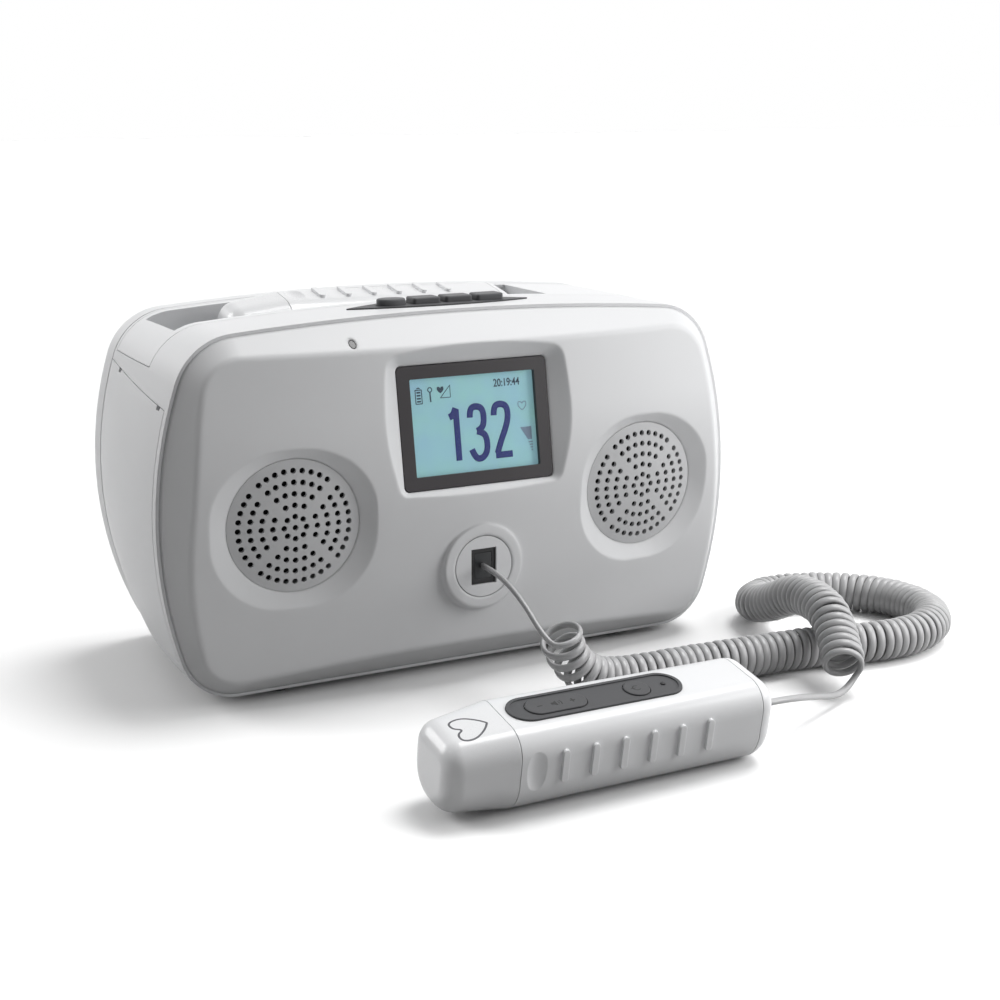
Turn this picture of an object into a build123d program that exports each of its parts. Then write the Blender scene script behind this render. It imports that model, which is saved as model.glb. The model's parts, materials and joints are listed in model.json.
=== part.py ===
from build123d import *
import os
from math import asin, cos, degrees, pi, radians, sin, tan

# Table-top fetal doppler monitor with a wired probe lying in front and a second probe in its dock.
# Millimetres. +X is the right of someone facing the screen, +Y goes to the back, +Z is up.
# The origin is on the table, in the middle of the monitor's width and of the whole depth.

# ---- casing ----
CASE_HALF = 141.0  # half the width of the casing's front rim at its widest
CASE_TOP = 166.0  # top of the casing in the middle
CASE_BASE = 4.0  # underside of the casing, which stands on its feet
WAIST = 84.0  # height of the widest place
SHOULDER_X = 123.0  # where the side would meet the top, before rounding
SHOULDER_Z = 160.0
BASE_HALF = 126.0  # half the width of the underside at the front
SHOULDER_R = 29.0
BASE_R = 26.0
SIDE_BULGE = 2.6  # how far the sides swell between the rim and the back seam
REAR_HALF = 138.5  # half the width at the back seam
REAR_WAIST = 100.0
REAR_BASE_HALF = 116.0
REAR_BASE_R = 24.0
WALL = 3.0
RIM_Y = 25.0  # front rim of the main housing
SEAM_Y = 118.0  # back seam
REAR_Y = 140.0  # back of the casing
REAR_R = 13.0
SEAM_GAP = 0.9
LIP = 5.0
LIP_WALL = 1.8
LIP_FIT = 0.5
FIT = 0.15  # close clearance between pieces that locate each other
SLOT_FIT = 0.35  # clearance that shows as a line round set-in covers
COVER_SKIN = 2.2  # thickness of set-in covers
LINER = 2.4  # wall behind a set-in cover
COVER_FRONT = 29.0  # front edge of the side covers, which run back to the seam
COVER_FOOT_Z = 22.0
COVER_TOP_FRONT = 131.0
COVER_TOP_BACK = 140.0
NOTCH = 4.0
NOTCH_DEEP = 1.6
NOTCH_SHARES = (0.08, 0.8)  # places of the notches along the cover's top seam
BOSS_R = 4.5
BOSS_LONG = 16.0
BOSS_PLACES = ((124.0, 112.0), (107.0, 30.0))  # x and z, on both sides

# ---- front shell ----
LEDGE = 1.3  # the housing's rim stands this far outside the front shell
FLANK = 10.5  # how far the front shell's flank slopes in ...
FLANK_DEEP = 13.0  # ... over this depth
FACE_Y = 2.5  # the most forward place of the face
FACE_Z = 95.0
FACE_RX = 940.0  # plan radius of the face
FACE_RZ = 180.0  # side-view radius of the face, between its two straight leans
FACE_BROW = 9.3  # lean of the face above the bulge
FACE_CHIN = 5.5  # lean of the face below it
FACE_RUN = 150.0
FACE_SOFT = 4.0  # rounding between the face and the flanks
SHELL = 3.0

# ---- speakers ----
SPEAKER_X = 85.6
SPEAKER_Z = 80.5
SPEAKER_Y = 12.0
SPEAKER_TURN = 4.3  # the speakers are turned outwards ...
SPEAKER_NOD = 2.2  # ... and a little downwards
GRILLE_R = 29.0
GRILLE_DOME = 3.0
GRILLE_THICK = 1.6
GRILLE_LEDGE = 2.0
HOLE_R = 1.25
HOLE_PITCH = 4.85  # radial distance of the rings of holes
FIRST_RING = 8
ARC_RINGS = ((2, 24.4), (3, 15.93), (4, 11.86), (5, 9.45))  # ring number, degrees between its holes
RECESS_X = 87.0
RECESS_SIDE = 77.0
RECESS_R = 31.0
RECESS_STEP = 0.6  # the recess's floor is this much wider than the grille
ROUND_SHARE = 0.995  # rounding of the recess's floor, nearly a circle
FACE_CLEAR = 0.6
RECESS_LINER = 2.2
COLLAR_WALL = 2.0
COLLAR_DEEP = 9.0
DRIVER_R = 31.0
DRIVER_DEEP = 20.0
DRIVER_RIM = 2.0
CONE_R = 27.0
CONE_SKIN = 0.8
CAP_SHARE = 0.35
MAGNET_R = 17.0
MAGNET_THICK = 8.0

# ---- screen ----
SCREEN_Y = 10.3
SCREEN_Z = 117.2
SCREEN_LEAN = 9.3
BEZEL_W = 72.8
BEZEL_H = 53.9
BEZEL_R = 2.5
BEZEL_THICK = 2.0
VIEW_W = 60.8
VIEW_H = 42.4
VIEW_CORNER = 0.6
WINDOW_THICK = 1.2
MODULE_THICK = 5.0
PILLOW_W = 96.2
PILLOW_H = 72.6
PILLOW_SWELL = 4.0
PILLOW_R = 8.0
PILLOW_RISE = 7.2

# ---- probe socket ----
SOCKET_Z = 53.7
SOCKET_Y = 3.2
PLATE_R = 13.8
PLATE_THICK = 2.4
SOCKET_W = 12.4
SOCKET_H = 16.4
SOCKET_STEP = 1.0
PORT_W = 8.6
PORT_H = 12.0
PORT_DEEP = 13.0
NOSE_R = 19.0
NOSE_TOP_R = 13.0
NOSE_TOP_Z = 60.0
NOSE_SLOPE = 24.0
NOSE_DEEP = 8.0

# ---- keys on top ----
KEYS_Y = 47.0
KEY_PANEL_HALF = 45.0
KEY_PANEL_DEEP = 22.0
KEY_PANEL_THICK = 1.6
KEY_COUNT = 4
KEY_PITCH = 15.8
KEY_W = 13.4
KEY_D = 9.6
KEY_CORNER = 1.5
KEY_SOFT = 0.8
KEY_PANEL_PROUD = 0.6
KEY_FLANGE_GAP = 0.7
KEY_POST_X = 35.0
KEY_PROUD = 3.2
KEY_FIT = 0.4
KEY_TRAVEL = 0.8
KEY_FLANGE = 1.6  # the flange under the wall stands out to the front and the back
KEY_FLANGE_THICK = 1.4
SWITCH_SIDE = 6.0
SWITCH_TALL = 3.4
SWITCH_R = 1.8
KEY_BOARD_Z = 153.0
LAMP_R = 1.5
LAMP_X = -56.0
LAMP_Z = 155.0

# ---- dock ----
DOCK_Y = 88.0
DOCK_LEFT = -117.0
DOCK_RIGHT = 66.0
DOCK_HALF = 21.6  # half the width of the trough
DOCK_FLOOR = 128.0
DOCK_FLOOR_R = 12.0
DOCK_WALL = 2.2
SADDLE_FRONT = 61.0
SADDLE_BACK = 114.6
SADDLE_FOOT_Z = 144.5  # lower end of the saddle's tongues

# ---- boards, battery, inlet, feet ----
BOARD_THICK = 1.6
MAIN_BOARD_Y = 22.8
MAIN_BOARD_W = 98.0
MAIN_BOARD_LOW = 24.0
MAIN_BOARD_HIGH = 84.0
# chips on the main board: x, z, width, height and thickness
BOARD_CHIPS = (
    (-20.0, 60.0, 14.0, 14.0, 2.0), (6.0, 64.0, 10.0, 10.0, 1.8),
    (24.0, 42.0, 12.0, 8.0, 2.4), (-24.0, 36.0, 18.0, 6.0, 5.0),
)
BOARD_CANS = ((36.0, 62.0), (36.0, 50.0), (2.0, 34.0))
CAN_R = 4.0
CAN_LONG = 9.0
POST_R = 3.0
POST_X = 43.0
POST_ZS = (30.0, 70.0)
SCREW_R = 1.5
SCREW_HEAD_R = 2.8
SCREW_HEAD = 2.0
SCREW_LONG = 7.0
CASE_SCREW_SEAT = 4.0
BATTERY_W = 104.0
BATTERY_D = 24.0
BATTERY_H = 50.0
BATTERY_LOW = 34.0
BATTERY_FIT = 0.5
WELL_WALL = 2.0
DOOR_THICK = 2.4
DOOR_LEDGE = 3.0
DOOR_CORNER = 2.5
GRIP_W = 24.0
GRIP_H = 6.0
PACK_SOFT = 4.0
INLET_X = -88.0
INLET_Z = 46.0
INLET_R = 5.0
INLET_BORE_R = 3.2
INLET_STEP = 0.4
INLET_FLANGE = 1.5
INLET_PIN_R = 1.0
INLET_LONG = 14.0
FOOT_R = 9.0
FOOT_SOFT = 0.8
FOOT_X = 86.0
FOOT_YS = (42.0, 106.0)

# ---- probes ----
PROBE_LONG = 143.0
HEAD_LONG = 28.0
TAIL_LONG = 8.0
PROBE_W = 38.0
PROBE_H = 36.0
PROBE_TIP_W = 31.0
PROBE_TIP_H = 30.0
PROBE_TAIL_W = 35.5
PROBE_TOP_R = 10.0
PROBE_BASE_R = 16.5
PROBE_WALL = 2.0
HEAD_SOFT = 8.0
TAIL_SOFT = 8.0
SEAM_LINE = 0.25
RIB_COUNT = 6
RIB_PITCH = 12.8
RIB_START = 46.1
RIB_MIDDLE = 3.8
RIB_TALL = 13.5
RIB_WIDE = 2.8
RIB_PROUD = 1.3
DIMPLE_X = 34.7
DIMPLE_DEEP = 1.6
DIMPLE_R = 6.5
DIMPLE_ARC_R = 30.0
PAD_START = 31.0
PAD_LONG = 75.0
PAD_W = 16.6
PAD_THICK = 1.4
PAD_RIM = 1.4
PAD_RISE = 0.7
ROCKER_START = 7.5
ROCKER_LONG = 25.5
ROCKER_W = 10.4
ROUND_AT = 55.7
ROUND_R = 5.3
PROBE_KEY_FIT = 0.3
PROBE_KEY_PROUD = 0.5
PROBE_KEY_TRAVEL = 0.4
PROBE_KEY_GAP = 0.5
PROBE_KEY_FLANGE = 1.0
PROBE_KEY_SOFT = 0.4
PROBE_STEM_R = 1.8
PROBE_SWITCH_TALL = 3.4
PROBE_SWITCH_XS = ((44.0, 58.5), (86.7,))  # switches under the rocker and under the round key
PROBE_LAMP_AT = 67.7
PROBE_LAMP_R = 0.9
PROBE_BOARD_W = 24.0
PROBE_BOARD_LONG = 92.0
PROBE_BOARD_START = 36.0
PROBE_POST_XS = (71.0, 116.0)
PROBE_BOARD_Z = 9.0
CRYSTAL_R = 6.5
CRYSTAL_THICK = 1.2
CRYSTAL_GAP = 1.5
WIRED_X = -85.0
WIRED_ROLL = 10.0
DOCKED_X = -88.0
DOCKED_ROLL = -80.0
DOCKED_REST = 0.3

# ---- cord ----
CORD_D = 3.1
COIL_D = 17.5
GLAND_LONG = 5.0
GLAND_R = 3.6
PLUG_LONG = 12.4
PLUG_FIT = 0.1
ARC_SHARE = 0.45
LEAD_ROUTE = (
    (0.0, 4.2, 53.7), (0.0, -7.0, 53.7), (1.5, -20.0, 52.5),
    (3.6, -33.5, 48.8), (5.84, -40.3, 42.5), (7.5, -41.4, 34.74),
)
COIL_ROUTE = (
    (13.0, -42.0, 36.0), (16.0, -44.0, 22.0), (28.0, -45.0, 11.0), (46.0, -46.0, 9.0), (76.0, -46.0, 9.2),
    (110.0, -48.0, 9.0), (142.0, -50.0, 9.2), (172.0, -58.0, 9.0), (200.0, -58.0, 9.2), (224.0, -42.0, 9.0),
    (230.0, -14.0, 9.0), (218.0, 10.0, 9.2), (196.0, 24.0, 9.0), (172.0, 28.0, 9.2), (155.0, 16.0, 10.0),
    (152.0, -6.0, 17.0), (149.0, -30.0, 29.5), (144.0, -58.0, 30.0), (139.0, -75.0, 20.0), (133.0, -88.0, 12.5),
)
TAIL_ROUTE = (
    (134.06, -85.68, 7.45), (131.5, -91.0, 4.2), (119.0, -96.5, 5.0),
    (103.0, -104.0, 10.0), (88.0, -112.5, 15.0),
)
TAIL_RUN = 9.0  # the last run of the cord, straight into the gland

FAR = 2 * CASE_HALF  # longer than the casing is wide


def across(y):
    """Upright plane at depth y, as seen from the front: its x is X and its y is Z."""
    return Plane(origin=(0, y, 0), x_dir=(1, 0, 0), z_dir=(0, -1, 0))


def block(x, y, z):
    """Box between two limits on each axis."""
    size = (x[1] - x[0], y[1] - y[0], z[1] - z[0])
    return Pos((x[0] + x[1]) / 2, (y[0] + y[1]) / 2, (z[0] + z[1]) / 2) * Box(*size)


def joined(shapes):
    """One shape from several, added one after the other."""
    whole = shapes[0]
    for shape in shapes[1:]:
        whole += shape
    return whole


def cut(whole, shapes):
    """A shape less several others, taken away one after the other."""
    for shape in shapes:
        whole -= shape
    return whole


def rod(plane, radius, start, end):
    """Cylinder along a plane's normal, between two heights over the plane."""
    return extrude(plane.offset(start) * Circle(radius), end - start)


def disc(first, middle, last, inset):
    """Disc whose rim runs through three points, shrunk by inset, with its seam on the far side."""
    arc = ThreePointArc(first, middle, last)
    centre = arc.arc_center
    return Plane(origin=centre, x_dir=centre - Vector(*middle), z_dir=(0, 0, 1)) * Circle(arc.radius - inset)


def casing_outline(half, waist, base_half, base_r, inset):
    """Front view of the casing: arched top, swelling sides and flat base, all shrunk by inset."""
    face = disc((-SHOULDER_X, SHOULDER_Z), (0, CASE_TOP), (SHOULDER_X, SHOULDER_Z), inset)
    for side in (-1, 1):
        face &= disc((side * SHOULDER_X, SHOULDER_Z), (side * half, waist), (side * base_half, CASE_BASE), inset)
    face &= Pos(0, CASE_BASE + inset + FAR / 2) * Rectangle(2 * FAR, FAR)
    face = fillet(face.vertices().group_by(Axis.Y)[-1], SHOULDER_R - inset)
    return fillet(face.vertices().group_by(Axis.Y)[0], base_r - inset)


def front_outline(inset=0.0):
    return casing_outline(CASE_HALF, WAIST, BASE_HALF, BASE_R, inset)


def middle_outline(inset=0.0):
    half = (CASE_HALF + REAR_HALF) / 2 + SIDE_BULGE
    base_half = (BASE_HALF + REAR_BASE_HALF) / 2 + SIDE_BULGE
    return casing_outline(half, (WAIST + REAR_WAIST) / 2, base_half, (BASE_R + REAR_BASE_R) / 2, inset)


def rear_outline(inset=0.0):
    return casing_outline(REAR_HALF, REAR_WAIST, REAR_BASE_HALF, REAR_BASE_R, inset)


def casing_form(inset=0.0):
    """The casing from its front rim to its back seam, shrunk by inset."""
    middle = (RIM_Y + SEAM_Y) / 2
    return loft(
        [
            across(RIM_Y) * front_outline(inset),
            across(middle) * middle_outline(inset),
            across(SEAM_Y) * rear_outline(inset),
        ]
    )


def ring(outline, outer, inner, start, end):
    """Band of an outline between two insets, from one depth to another."""
    return extrude(across(end) * (outline(outer) - outline(inner)), end - start)


# ---- set-in covers ----
SKIN_BED = COVER_SKIN + FIT  # depth of the beds that the covers lie in
THICK_WALL = SKIN_BED + LINER


def side_zone(side, grow):
    """Everything that a side cover covers, seen from the side, with grow round it."""
    corners = (
        (COVER_FRONT - grow, COVER_FOOT_Z - grow),
        (COVER_FRONT - grow, COVER_TOP_FRONT + grow),
        (SEAM_Y + grow, COVER_TOP_BACK + grow),
        (SEAM_Y + grow, COVER_FOOT_Z - grow),
    )
    profile = make_face(Polyline(*corners, close=True))
    return Pos(side * CASE_HALF / 2, 0, 0) * extrude(Plane.YZ * profile, CASE_HALF, dir=(side, 0, 0))


def saddle_zone(grow):
    """Everything that the probe cradle's skin covers, with grow round it."""
    depth = (SADDLE_FRONT - grow, SADDLE_BACK + grow)
    return block((-FAR, FAR), depth, (SADDLE_FOOT_Z - grow, 2 * CASE_TOP))


def side_cover(side):
    """Set-in panel on one side, with a prising notch near each end of its top seam."""
    cover = (casing_form() - casing_form(COVER_SKIN)) & side_zone(side, 0.0)
    slope = (COVER_TOP_BACK - COVER_TOP_FRONT) / (SEAM_Y - COVER_FRONT)
    for share in NOTCH_SHARES:
        y = COVER_FRONT + share * (SEAM_Y - COVER_FRONT)
        z = COVER_TOP_FRONT + slope * (y - COVER_FRONT)
        cover -= block((-FAR, FAR), (y - NOTCH / 2, y + NOTCH / 2), (z - NOTCH_DEEP, z + NOTCH))
    return cover


def trough(grow, floor_r):
    """The dock's trough: a long channel with rounded lower edges, grown by grow."""
    half = DOCK_HALF + grow
    ends = (DOCK_LEFT - grow, DOCK_RIGHT + grow)
    body = block(ends, (DOCK_Y - half, DOCK_Y + half), (DOCK_FLOOR - grow, 2 * CASE_TOP))
    long_edges = body.edges().filter_by(Axis.X).group_by(Axis.Z)[0]
    return fillet(long_edges, floor_r) if floor_r else body


def probe_cradle():
    """Saddle over the top of the casing, with the trough that the second probe lies in."""
    skin = (casing_form() - casing_form(COVER_SKIN)) & saddle_zone(0.0)
    channel = trough(DOCK_WALL, DOCK_FLOOR_R + DOCK_WALL) & casing_form(COVER_SKIN / 2)
    return skin + channel - trough(0.0, DOCK_FLOOR_R)


# ---- keys on top ----


def key_x(index):
    return (index - (KEY_COUNT - 1) / 2) * KEY_PITCH


def key_outline(index, grow):
    """Plan of a key: the first is an ellipse, the others are rounded oblongs."""
    if index == 0:
        return Pos(key_x(index), KEYS_Y) * Ellipse(KEY_W / 2 + grow, KEY_D / 2 + grow)
    return Pos(key_x(index), KEYS_Y) * RectangleRounded(KEY_W + 2 * grow, KEY_D + 2 * grow, KEY_CORNER + grow)


def key_holes():
    shaft = Sketch() + [key_outline(index, KEY_FIT) for index in range(KEY_COUNT)]
    return Pos(0, 0, CASE_TOP - 3 * WALL) * extrude(shaft, 6 * WALL)


def lens(grow):
    """The key panel's plan, pointed at both ends, as a tall prism."""
    half = KEY_PANEL_HALF + grow
    deep = KEY_PANEL_DEEP / 2 + grow
    front = ThreePointArc((-half, 0), (0, -deep), (half, 0))
    back = ThreePointArc((half, 0), (0, deep), (-half, 0))
    return Pos(0, KEYS_Y, CASE_TOP - 3 * WALL) * extrude(make_face([front, back]), 6 * WALL)


def key_panel():
    """Dark lens-shaped plate that the four keys come through, standing a little proud."""
    raised = Pos(0, 0, KEY_PANEL_PROUD) * casing_form()
    return (raised & lens(0.0)) - casing_form(KEY_PANEL_THICK - KEY_PANEL_PROUD) - key_holes()


def top_key(index):
    """A key: its cap, a flange that keeps it under the wall, and a stem over its switch."""
    flange_top = CASE_TOP - WALL - KEY_FLANGE_GAP
    top = CASE_TOP + KEY_PROUD
    cap = Pos(0, 0, flange_top) * extrude(key_outline(index, 0.0), top - flange_top)
    cap = fillet(cap.edges().group_by(Axis.Z)[-1], KEY_SOFT)
    flange = block(
        (key_x(index) - KEY_W / 2, key_x(index) + KEY_W / 2),
        (KEYS_Y - KEY_D / 2 - KEY_FLANGE, KEYS_Y + KEY_D / 2 + KEY_FLANGE),
        (flange_top - KEY_FLANGE_THICK, flange_top),
    )
    stem_foot = KEY_BOARD_Z + SWITCH_TALL + KEY_TRAVEL + FIT
    stem = Pos(key_x(index), KEYS_Y, stem_foot) * extrude(Circle(SWITCH_R), flange_top - stem_foot)
    return cap + flange + stem


def key_board():
    half_w = KEY_POST_X + POST_R + 1
    depth = (KEYS_Y - KEY_PANEL_DEEP / 2 + 2, KEYS_Y + KEY_PANEL_DEEP / 2 - 2)
    return block((-half_w, half_w), depth, (KEY_BOARD_Z - BOARD_THICK, KEY_BOARD_Z)) - key_board_screws(FIT)


def key_board_screws(grow):
    """Screws that hold the key board up to its posts, grown by grow."""
    shank = Pos(0, KEYS_Y, KEY_BOARD_Z - BOARD_THICK) * extrude(Circle(SCREW_R + grow), SCREW_LONG)
    return Part() + [Pos(side * KEY_POST_X, 0, 0) * shank for side in (-1, 1)]


def key_switches():
    """Four small switches on the key board, one under each key."""
    base = block((-SWITCH_SIDE / 2, SWITCH_SIDE / 2), (-SWITCH_SIDE / 2, SWITCH_SIDE / 2), (0, SWITCH_TALL / 2))
    dome = Pos(0, 0, SWITCH_TALL / 2) * extrude(Circle(SWITCH_R), SWITCH_TALL / 2)
    return [Pos(key_x(index), KEYS_Y, KEY_BOARD_Z) * (base + dome) for index in range(KEY_COUNT)]


# ---- main housing ----


def rear_bosses(radius, start, end):
    """Round posts at the four places where the back is screwed on."""
    posts = [
        rod(Plane(origin=(side * x, 0, z), z_dir=(0, 1, 0)), radius, start, end)
        for x, z in BOSS_PLACES
        for side in (-1, 1)
    ]
    return Part() + posts


def boss_webs(start, end):
    """Ribs that join the screw posts to the casing's wall."""
    webs = [
        block((min(side * x, side * FAR), max(side * x, side * FAR)), (start, end), (z - LINER / 2, z + LINER / 2))
        for x, z in BOSS_PLACES
        for side in (-1, 1)
    ]
    return Part() + webs


def main_housing():
    """The middle of the casing: thick where covers and lips are, open to the front and the back."""
    zones = [side_zone(-1, 0.0), side_zone(1, 0.0), saddle_zone(0.0)]
    beds = [side_zone(-1, SLOT_FIT), side_zone(1, SLOT_FIT), saddle_zone(SLOT_FIT)]
    rims = [
        block((-FAR, FAR), (RIM_Y, RIM_Y + LIP + LINER), (0, 2 * CASE_TOP)),
        block((-FAR, FAR), (SEAM_Y - LIP - LINER, SEAM_Y), (0, 2 * CASE_TOP)),
    ]
    covered = [side_zone(-1, LINER), side_zone(1, LINER), saddle_zone(LINER)]
    thick = Part() + rims + covered
    hollow = casing_form(WALL) - (thick - casing_form(THICK_WALL))
    housing = casing_form() - hollow - (Part() + beds - casing_form(SKIN_BED))
    boss_end = SEAM_Y - LIP - LIP_FIT
    inside = casing_form(COVER_SKIN + LINER)
    bosses = rear_bosses(BOSS_R, boss_end - BOSS_LONG, boss_end) + boss_webs(boss_end - BOSS_LONG, boss_end)
    posts = [
        Pos(side * KEY_POST_X, KEYS_Y, KEY_BOARD_Z) * extrude(Circle(POST_R), CASE_TOP - WALL - KEY_BOARD_Z + 1)
        for side in (-1, 1)
    ]
    housing += (bosses & inside) + posts
    housing -= rear_bosses(SCREW_R, boss_end - BOSS_LONG / 2, boss_end)
    housing -= lens(SLOT_FIT) - casing_form(KEY_PANEL_THICK - KEY_PANEL_PROUD + FIT)
    housing -= key_holes()
    housing -= key_board_screws(0.0)
    return housing - trough(DOCK_WALL + SLOT_FIT, 0.0)


# ---- front shell ----


def front_form(inset):
    """The front shell's outer form, shrunk by inset: sloping flanks cut by the curved face."""
    foremost = FACE_Y - SHELL
    run = (RIM_Y - foremost) * FLANK / FLANK_DEEP
    flanks = loft(
        [across(RIM_Y) * front_outline(LEDGE + inset), across(foremost) * front_outline(LEDGE + inset + run)],
        ruled=True,
    )
    form = flanks & face_bowl(inset)
    return fillet(form.faces().sort_by(Axis.Y)[0].edges(), FACE_SOFT - inset / 2)


def face_bowl(inset):
    """Everything behind the curved face: its side view turned about an upright axis far behind it."""
    radius = FACE_RZ - inset
    centre = Vector(FACE_Y + FACE_RZ, FACE_Z)

    def on_arc(angle):
        return centre + Vector(-cos(radians(angle)), sin(radians(angle))) * radius

    high = on_arc(FACE_BROW)
    low = on_arc(-FACE_CHIN)
    high_end = high + Vector(sin(radians(FACE_BROW)), cos(radians(FACE_BROW))) * FACE_RUN
    low_end = low + Vector(sin(radians(FACE_CHIN)), -cos(radians(FACE_CHIN))) * FACE_RUN
    back = FACE_Y + FACE_RX / 2
    bulge = ThreePointArc(low, on_arc(0), high)
    rest = Polyline(high, high_end, (back, high_end.Y), (back, low_end.Y), low_end, low)
    profile = make_face([bulge, rest])
    return revolve(Plane.YZ * profile, Axis((0, FACE_Y + FACE_RX, 0), (0, 0, 1)))


def face_lean(z):
    """How far the face leans back at height z, in degrees; negative below the bulge."""
    return max(-FACE_CHIN, min(FACE_BROW, degrees(asin(max(-1, min(1, (z - FACE_Z) / FACE_RZ))))))


def face_plane(x, z, proud):
    """Plane that touches the face at x and z, moved forward by proud."""
    lean = radians(face_lean(z))
    over = z - FACE_Z - FACE_RZ * sin(lean)
    y = FACE_Y + x**2 / (2 * FACE_RX) + FACE_RZ * (1 - cos(lean)) + over * tan(lean)
    return Plane(origin=(x, y, z), x_dir=(1, x / FACE_RX, 0), z_dir=(x / FACE_RX, -1, tan(lean))).offset(proud)


def speaker_plane(side):
    """Plane of a grille's edge: turned outwards and a little down."""
    turn = radians(SPEAKER_TURN)
    nod = radians(SPEAKER_NOD)
    return Plane(
        origin=(side * SPEAKER_X, SPEAKER_Y, SPEAKER_Z),
        x_dir=(cos(turn), side * sin(turn), 0),
        z_dir=(side * sin(turn) * cos(nod), -cos(turn) * cos(nod), -sin(nod)),
    )


def speaker_recess(side, grow):
    """Sunk form round a grille: round below, a soft square at the face."""
    floor_r = GRILLE_R + RECESS_STEP + grow
    floor = RectangleRounded(2 * floor_r, 2 * floor_r, floor_r * ROUND_SHARE)
    mouth = RectangleRounded(RECESS_SIDE + 2 * grow, RECESS_SIDE + 2 * grow, RECESS_R + grow)
    top = face_plane(side * RECESS_X, SPEAKER_Z, FACE_CLEAR)
    return loft([speaker_plane(side).offset(-grow) * floor, top * mouth], ruled=True)


def screen_plane():
    """Plane of the bezel's front: leaned back."""
    lean = radians(SCREEN_LEAN)
    return Plane(origin=(0, SCREEN_Y, SCREEN_Z), x_dir=(1, 0, 0), z_dir=(0, -cos(lean), sin(lean)))


def pillow(grow):
    """Mouth of the screen's recess: four bulged sides with rounded corners."""
    half_w = PILLOW_W / 2 - PILLOW_SWELL + grow
    half_h = PILLOW_H / 2 - PILLOW_SWELL + grow
    sides = [
        ThreePointArc((-half_w, half_h), (0, half_h + PILLOW_SWELL), (half_w, half_h)),
        ThreePointArc((half_w, half_h), (half_w + PILLOW_SWELL, 0), (half_w, -half_h)),
        ThreePointArc((half_w, -half_h), (0, -half_h - PILLOW_SWELL), (-half_w, -half_h)),
        ThreePointArc((-half_w, -half_h), (-half_w - PILLOW_SWELL, 0), (-half_w, half_h)),
    ]
    face = make_face(sides)
    return fillet(face.vertices(), PILLOW_R + grow)


def screen_recess(grow):
    floor = RectangleRounded(BEZEL_W + 2 * (SLOT_FIT + grow), BEZEL_H + 2 * (SLOT_FIT + grow), BEZEL_R + grow)
    plane = screen_plane()
    return loft([plane.offset(-grow) * floor, plane.offset(PILLOW_RISE) * pillow(grow)], ruled=True)


def plate(width, height, corner, start, end):
    """Rounded plate in line with the screen, between two heights over the bezel's front."""
    return extrude(screen_plane().offset(start) * RectangleRounded(width, height, corner), end - start)


def nose_outline(grow):
    """Front view of the nose under the screen: round below, narrower above."""
    low = Pos(0, SOCKET_Z) * Circle(NOSE_R + grow)
    high = Pos(0, NOSE_TOP_Z) * Circle(NOSE_TOP_R + grow)
    return make_hull(low.edges() + high.edges())


def nose():
    spread = NOSE_DEEP * tan(radians(NOSE_SLOPE))
    tip = across(SOCKET_Y) * nose_outline(0.0)
    return loft([tip, across(SOCKET_Y + NOSE_DEEP) * nose_outline(spread)], ruled=True)


def socket_block(grow, start, end):
    """Block of the probe socket's outline, grown by grow, between two depths."""
    half_w = SOCKET_W / 2 + grow
    half_h = SOCKET_H / 2 + grow
    return block((-half_w, half_w), (start, end), (SOCKET_Z - half_h, SOCKET_Z + half_h))


def board_places():
    return [(side * POST_X, z) for z in POST_ZS for side in (-1, 1)]


def front_shell():
    """Front of the casing, with the speaker and screen recesses, the nose and the posts for the board."""
    outer = front_form(0.0)
    lip_out = THICK_WALL + LIP_FIT
    lip = ring(front_outline, lip_out, lip_out + LIP_WALL, RIM_Y - SHELL, RIM_Y + LIP)
    web = ring(front_outline, WALL, lip_out + LIP_WALL, RIM_Y - SHELL, RIM_Y) & outer
    well_w = BEZEL_W + 2 * SLOT_FIT
    well_h = BEZEL_H + 2 * SLOT_FIT
    well_deep = BEZEL_THICK + WINDOW_THICK + MODULE_THICK
    flush = [screen_recess(RECESS_LINER)]
    free = [nose()]
    free.append(plate(well_w + 2 * RECESS_LINER, well_h + 2 * RECESS_LINER, BEZEL_R, -well_deep - RECESS_LINER, 0))
    cuts = [screen_recess(0.0), plate(well_w, well_h, BEZEL_R, -well_deep, 1)]
    cuts.append(plate(VIEW_W, VIEW_H, BEZEL_R, -2 * well_deep, 0))
    for side in (-1, 1):
        seat = speaker_plane(side)
        flush.append(speaker_recess(side, RECESS_LINER))
        flush.append(rod(seat, GRILLE_R + FIT + COLLAR_WALL, -COLLAR_DEEP, 0))
        cuts.append(speaker_recess(side, 0.0))
        cuts.append(rod(seat, GRILLE_R + FIT, -GRILLE_THICK, 1))
        cuts.append(rod(seat, GRILLE_R - GRILLE_LEDGE, -2 * COLLAR_DEEP, 1))
    for x, z in board_places():
        axis = Plane(origin=(x, 0, z), z_dir=(0, 1, 0))
        flush.append(rod(axis, POST_R, 0, MAIN_BOARD_Y))
        cuts.append(rod(axis, SCREW_R, MAIN_BOARD_Y - SCREW_LONG, MAIN_BOARD_Y))
    cuts.append(rod(Plane(origin=(0, 0, SOCKET_Z), z_dir=(0, 1, 0)), PLATE_R + SLOT_FIT, 0, SOCKET_Y + PLATE_THICK))
    cuts.append(socket_block(FIT, 0.0, RIM_Y))
    cuts.append(rod(Plane(origin=(LAMP_X, 0, LAMP_Z), z_dir=(0, 1, 0)), LAMP_R + FIT, 0, RIM_Y))
    lining = [piece & outer for piece in flush]
    return cut(joined([outer - front_form(SHELL), lip, web, *lining, *free]), cuts)


def indicator():
    """Small lamp beside the screen, in line with the face."""
    lamp = rod(Plane(origin=(LAMP_X, 0, LAMP_Z), z_dir=(0, 1, 0)), LAMP_R, 0, RIM_Y)
    return lamp & front_form(0.0)


# ---- speakers ----


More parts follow.
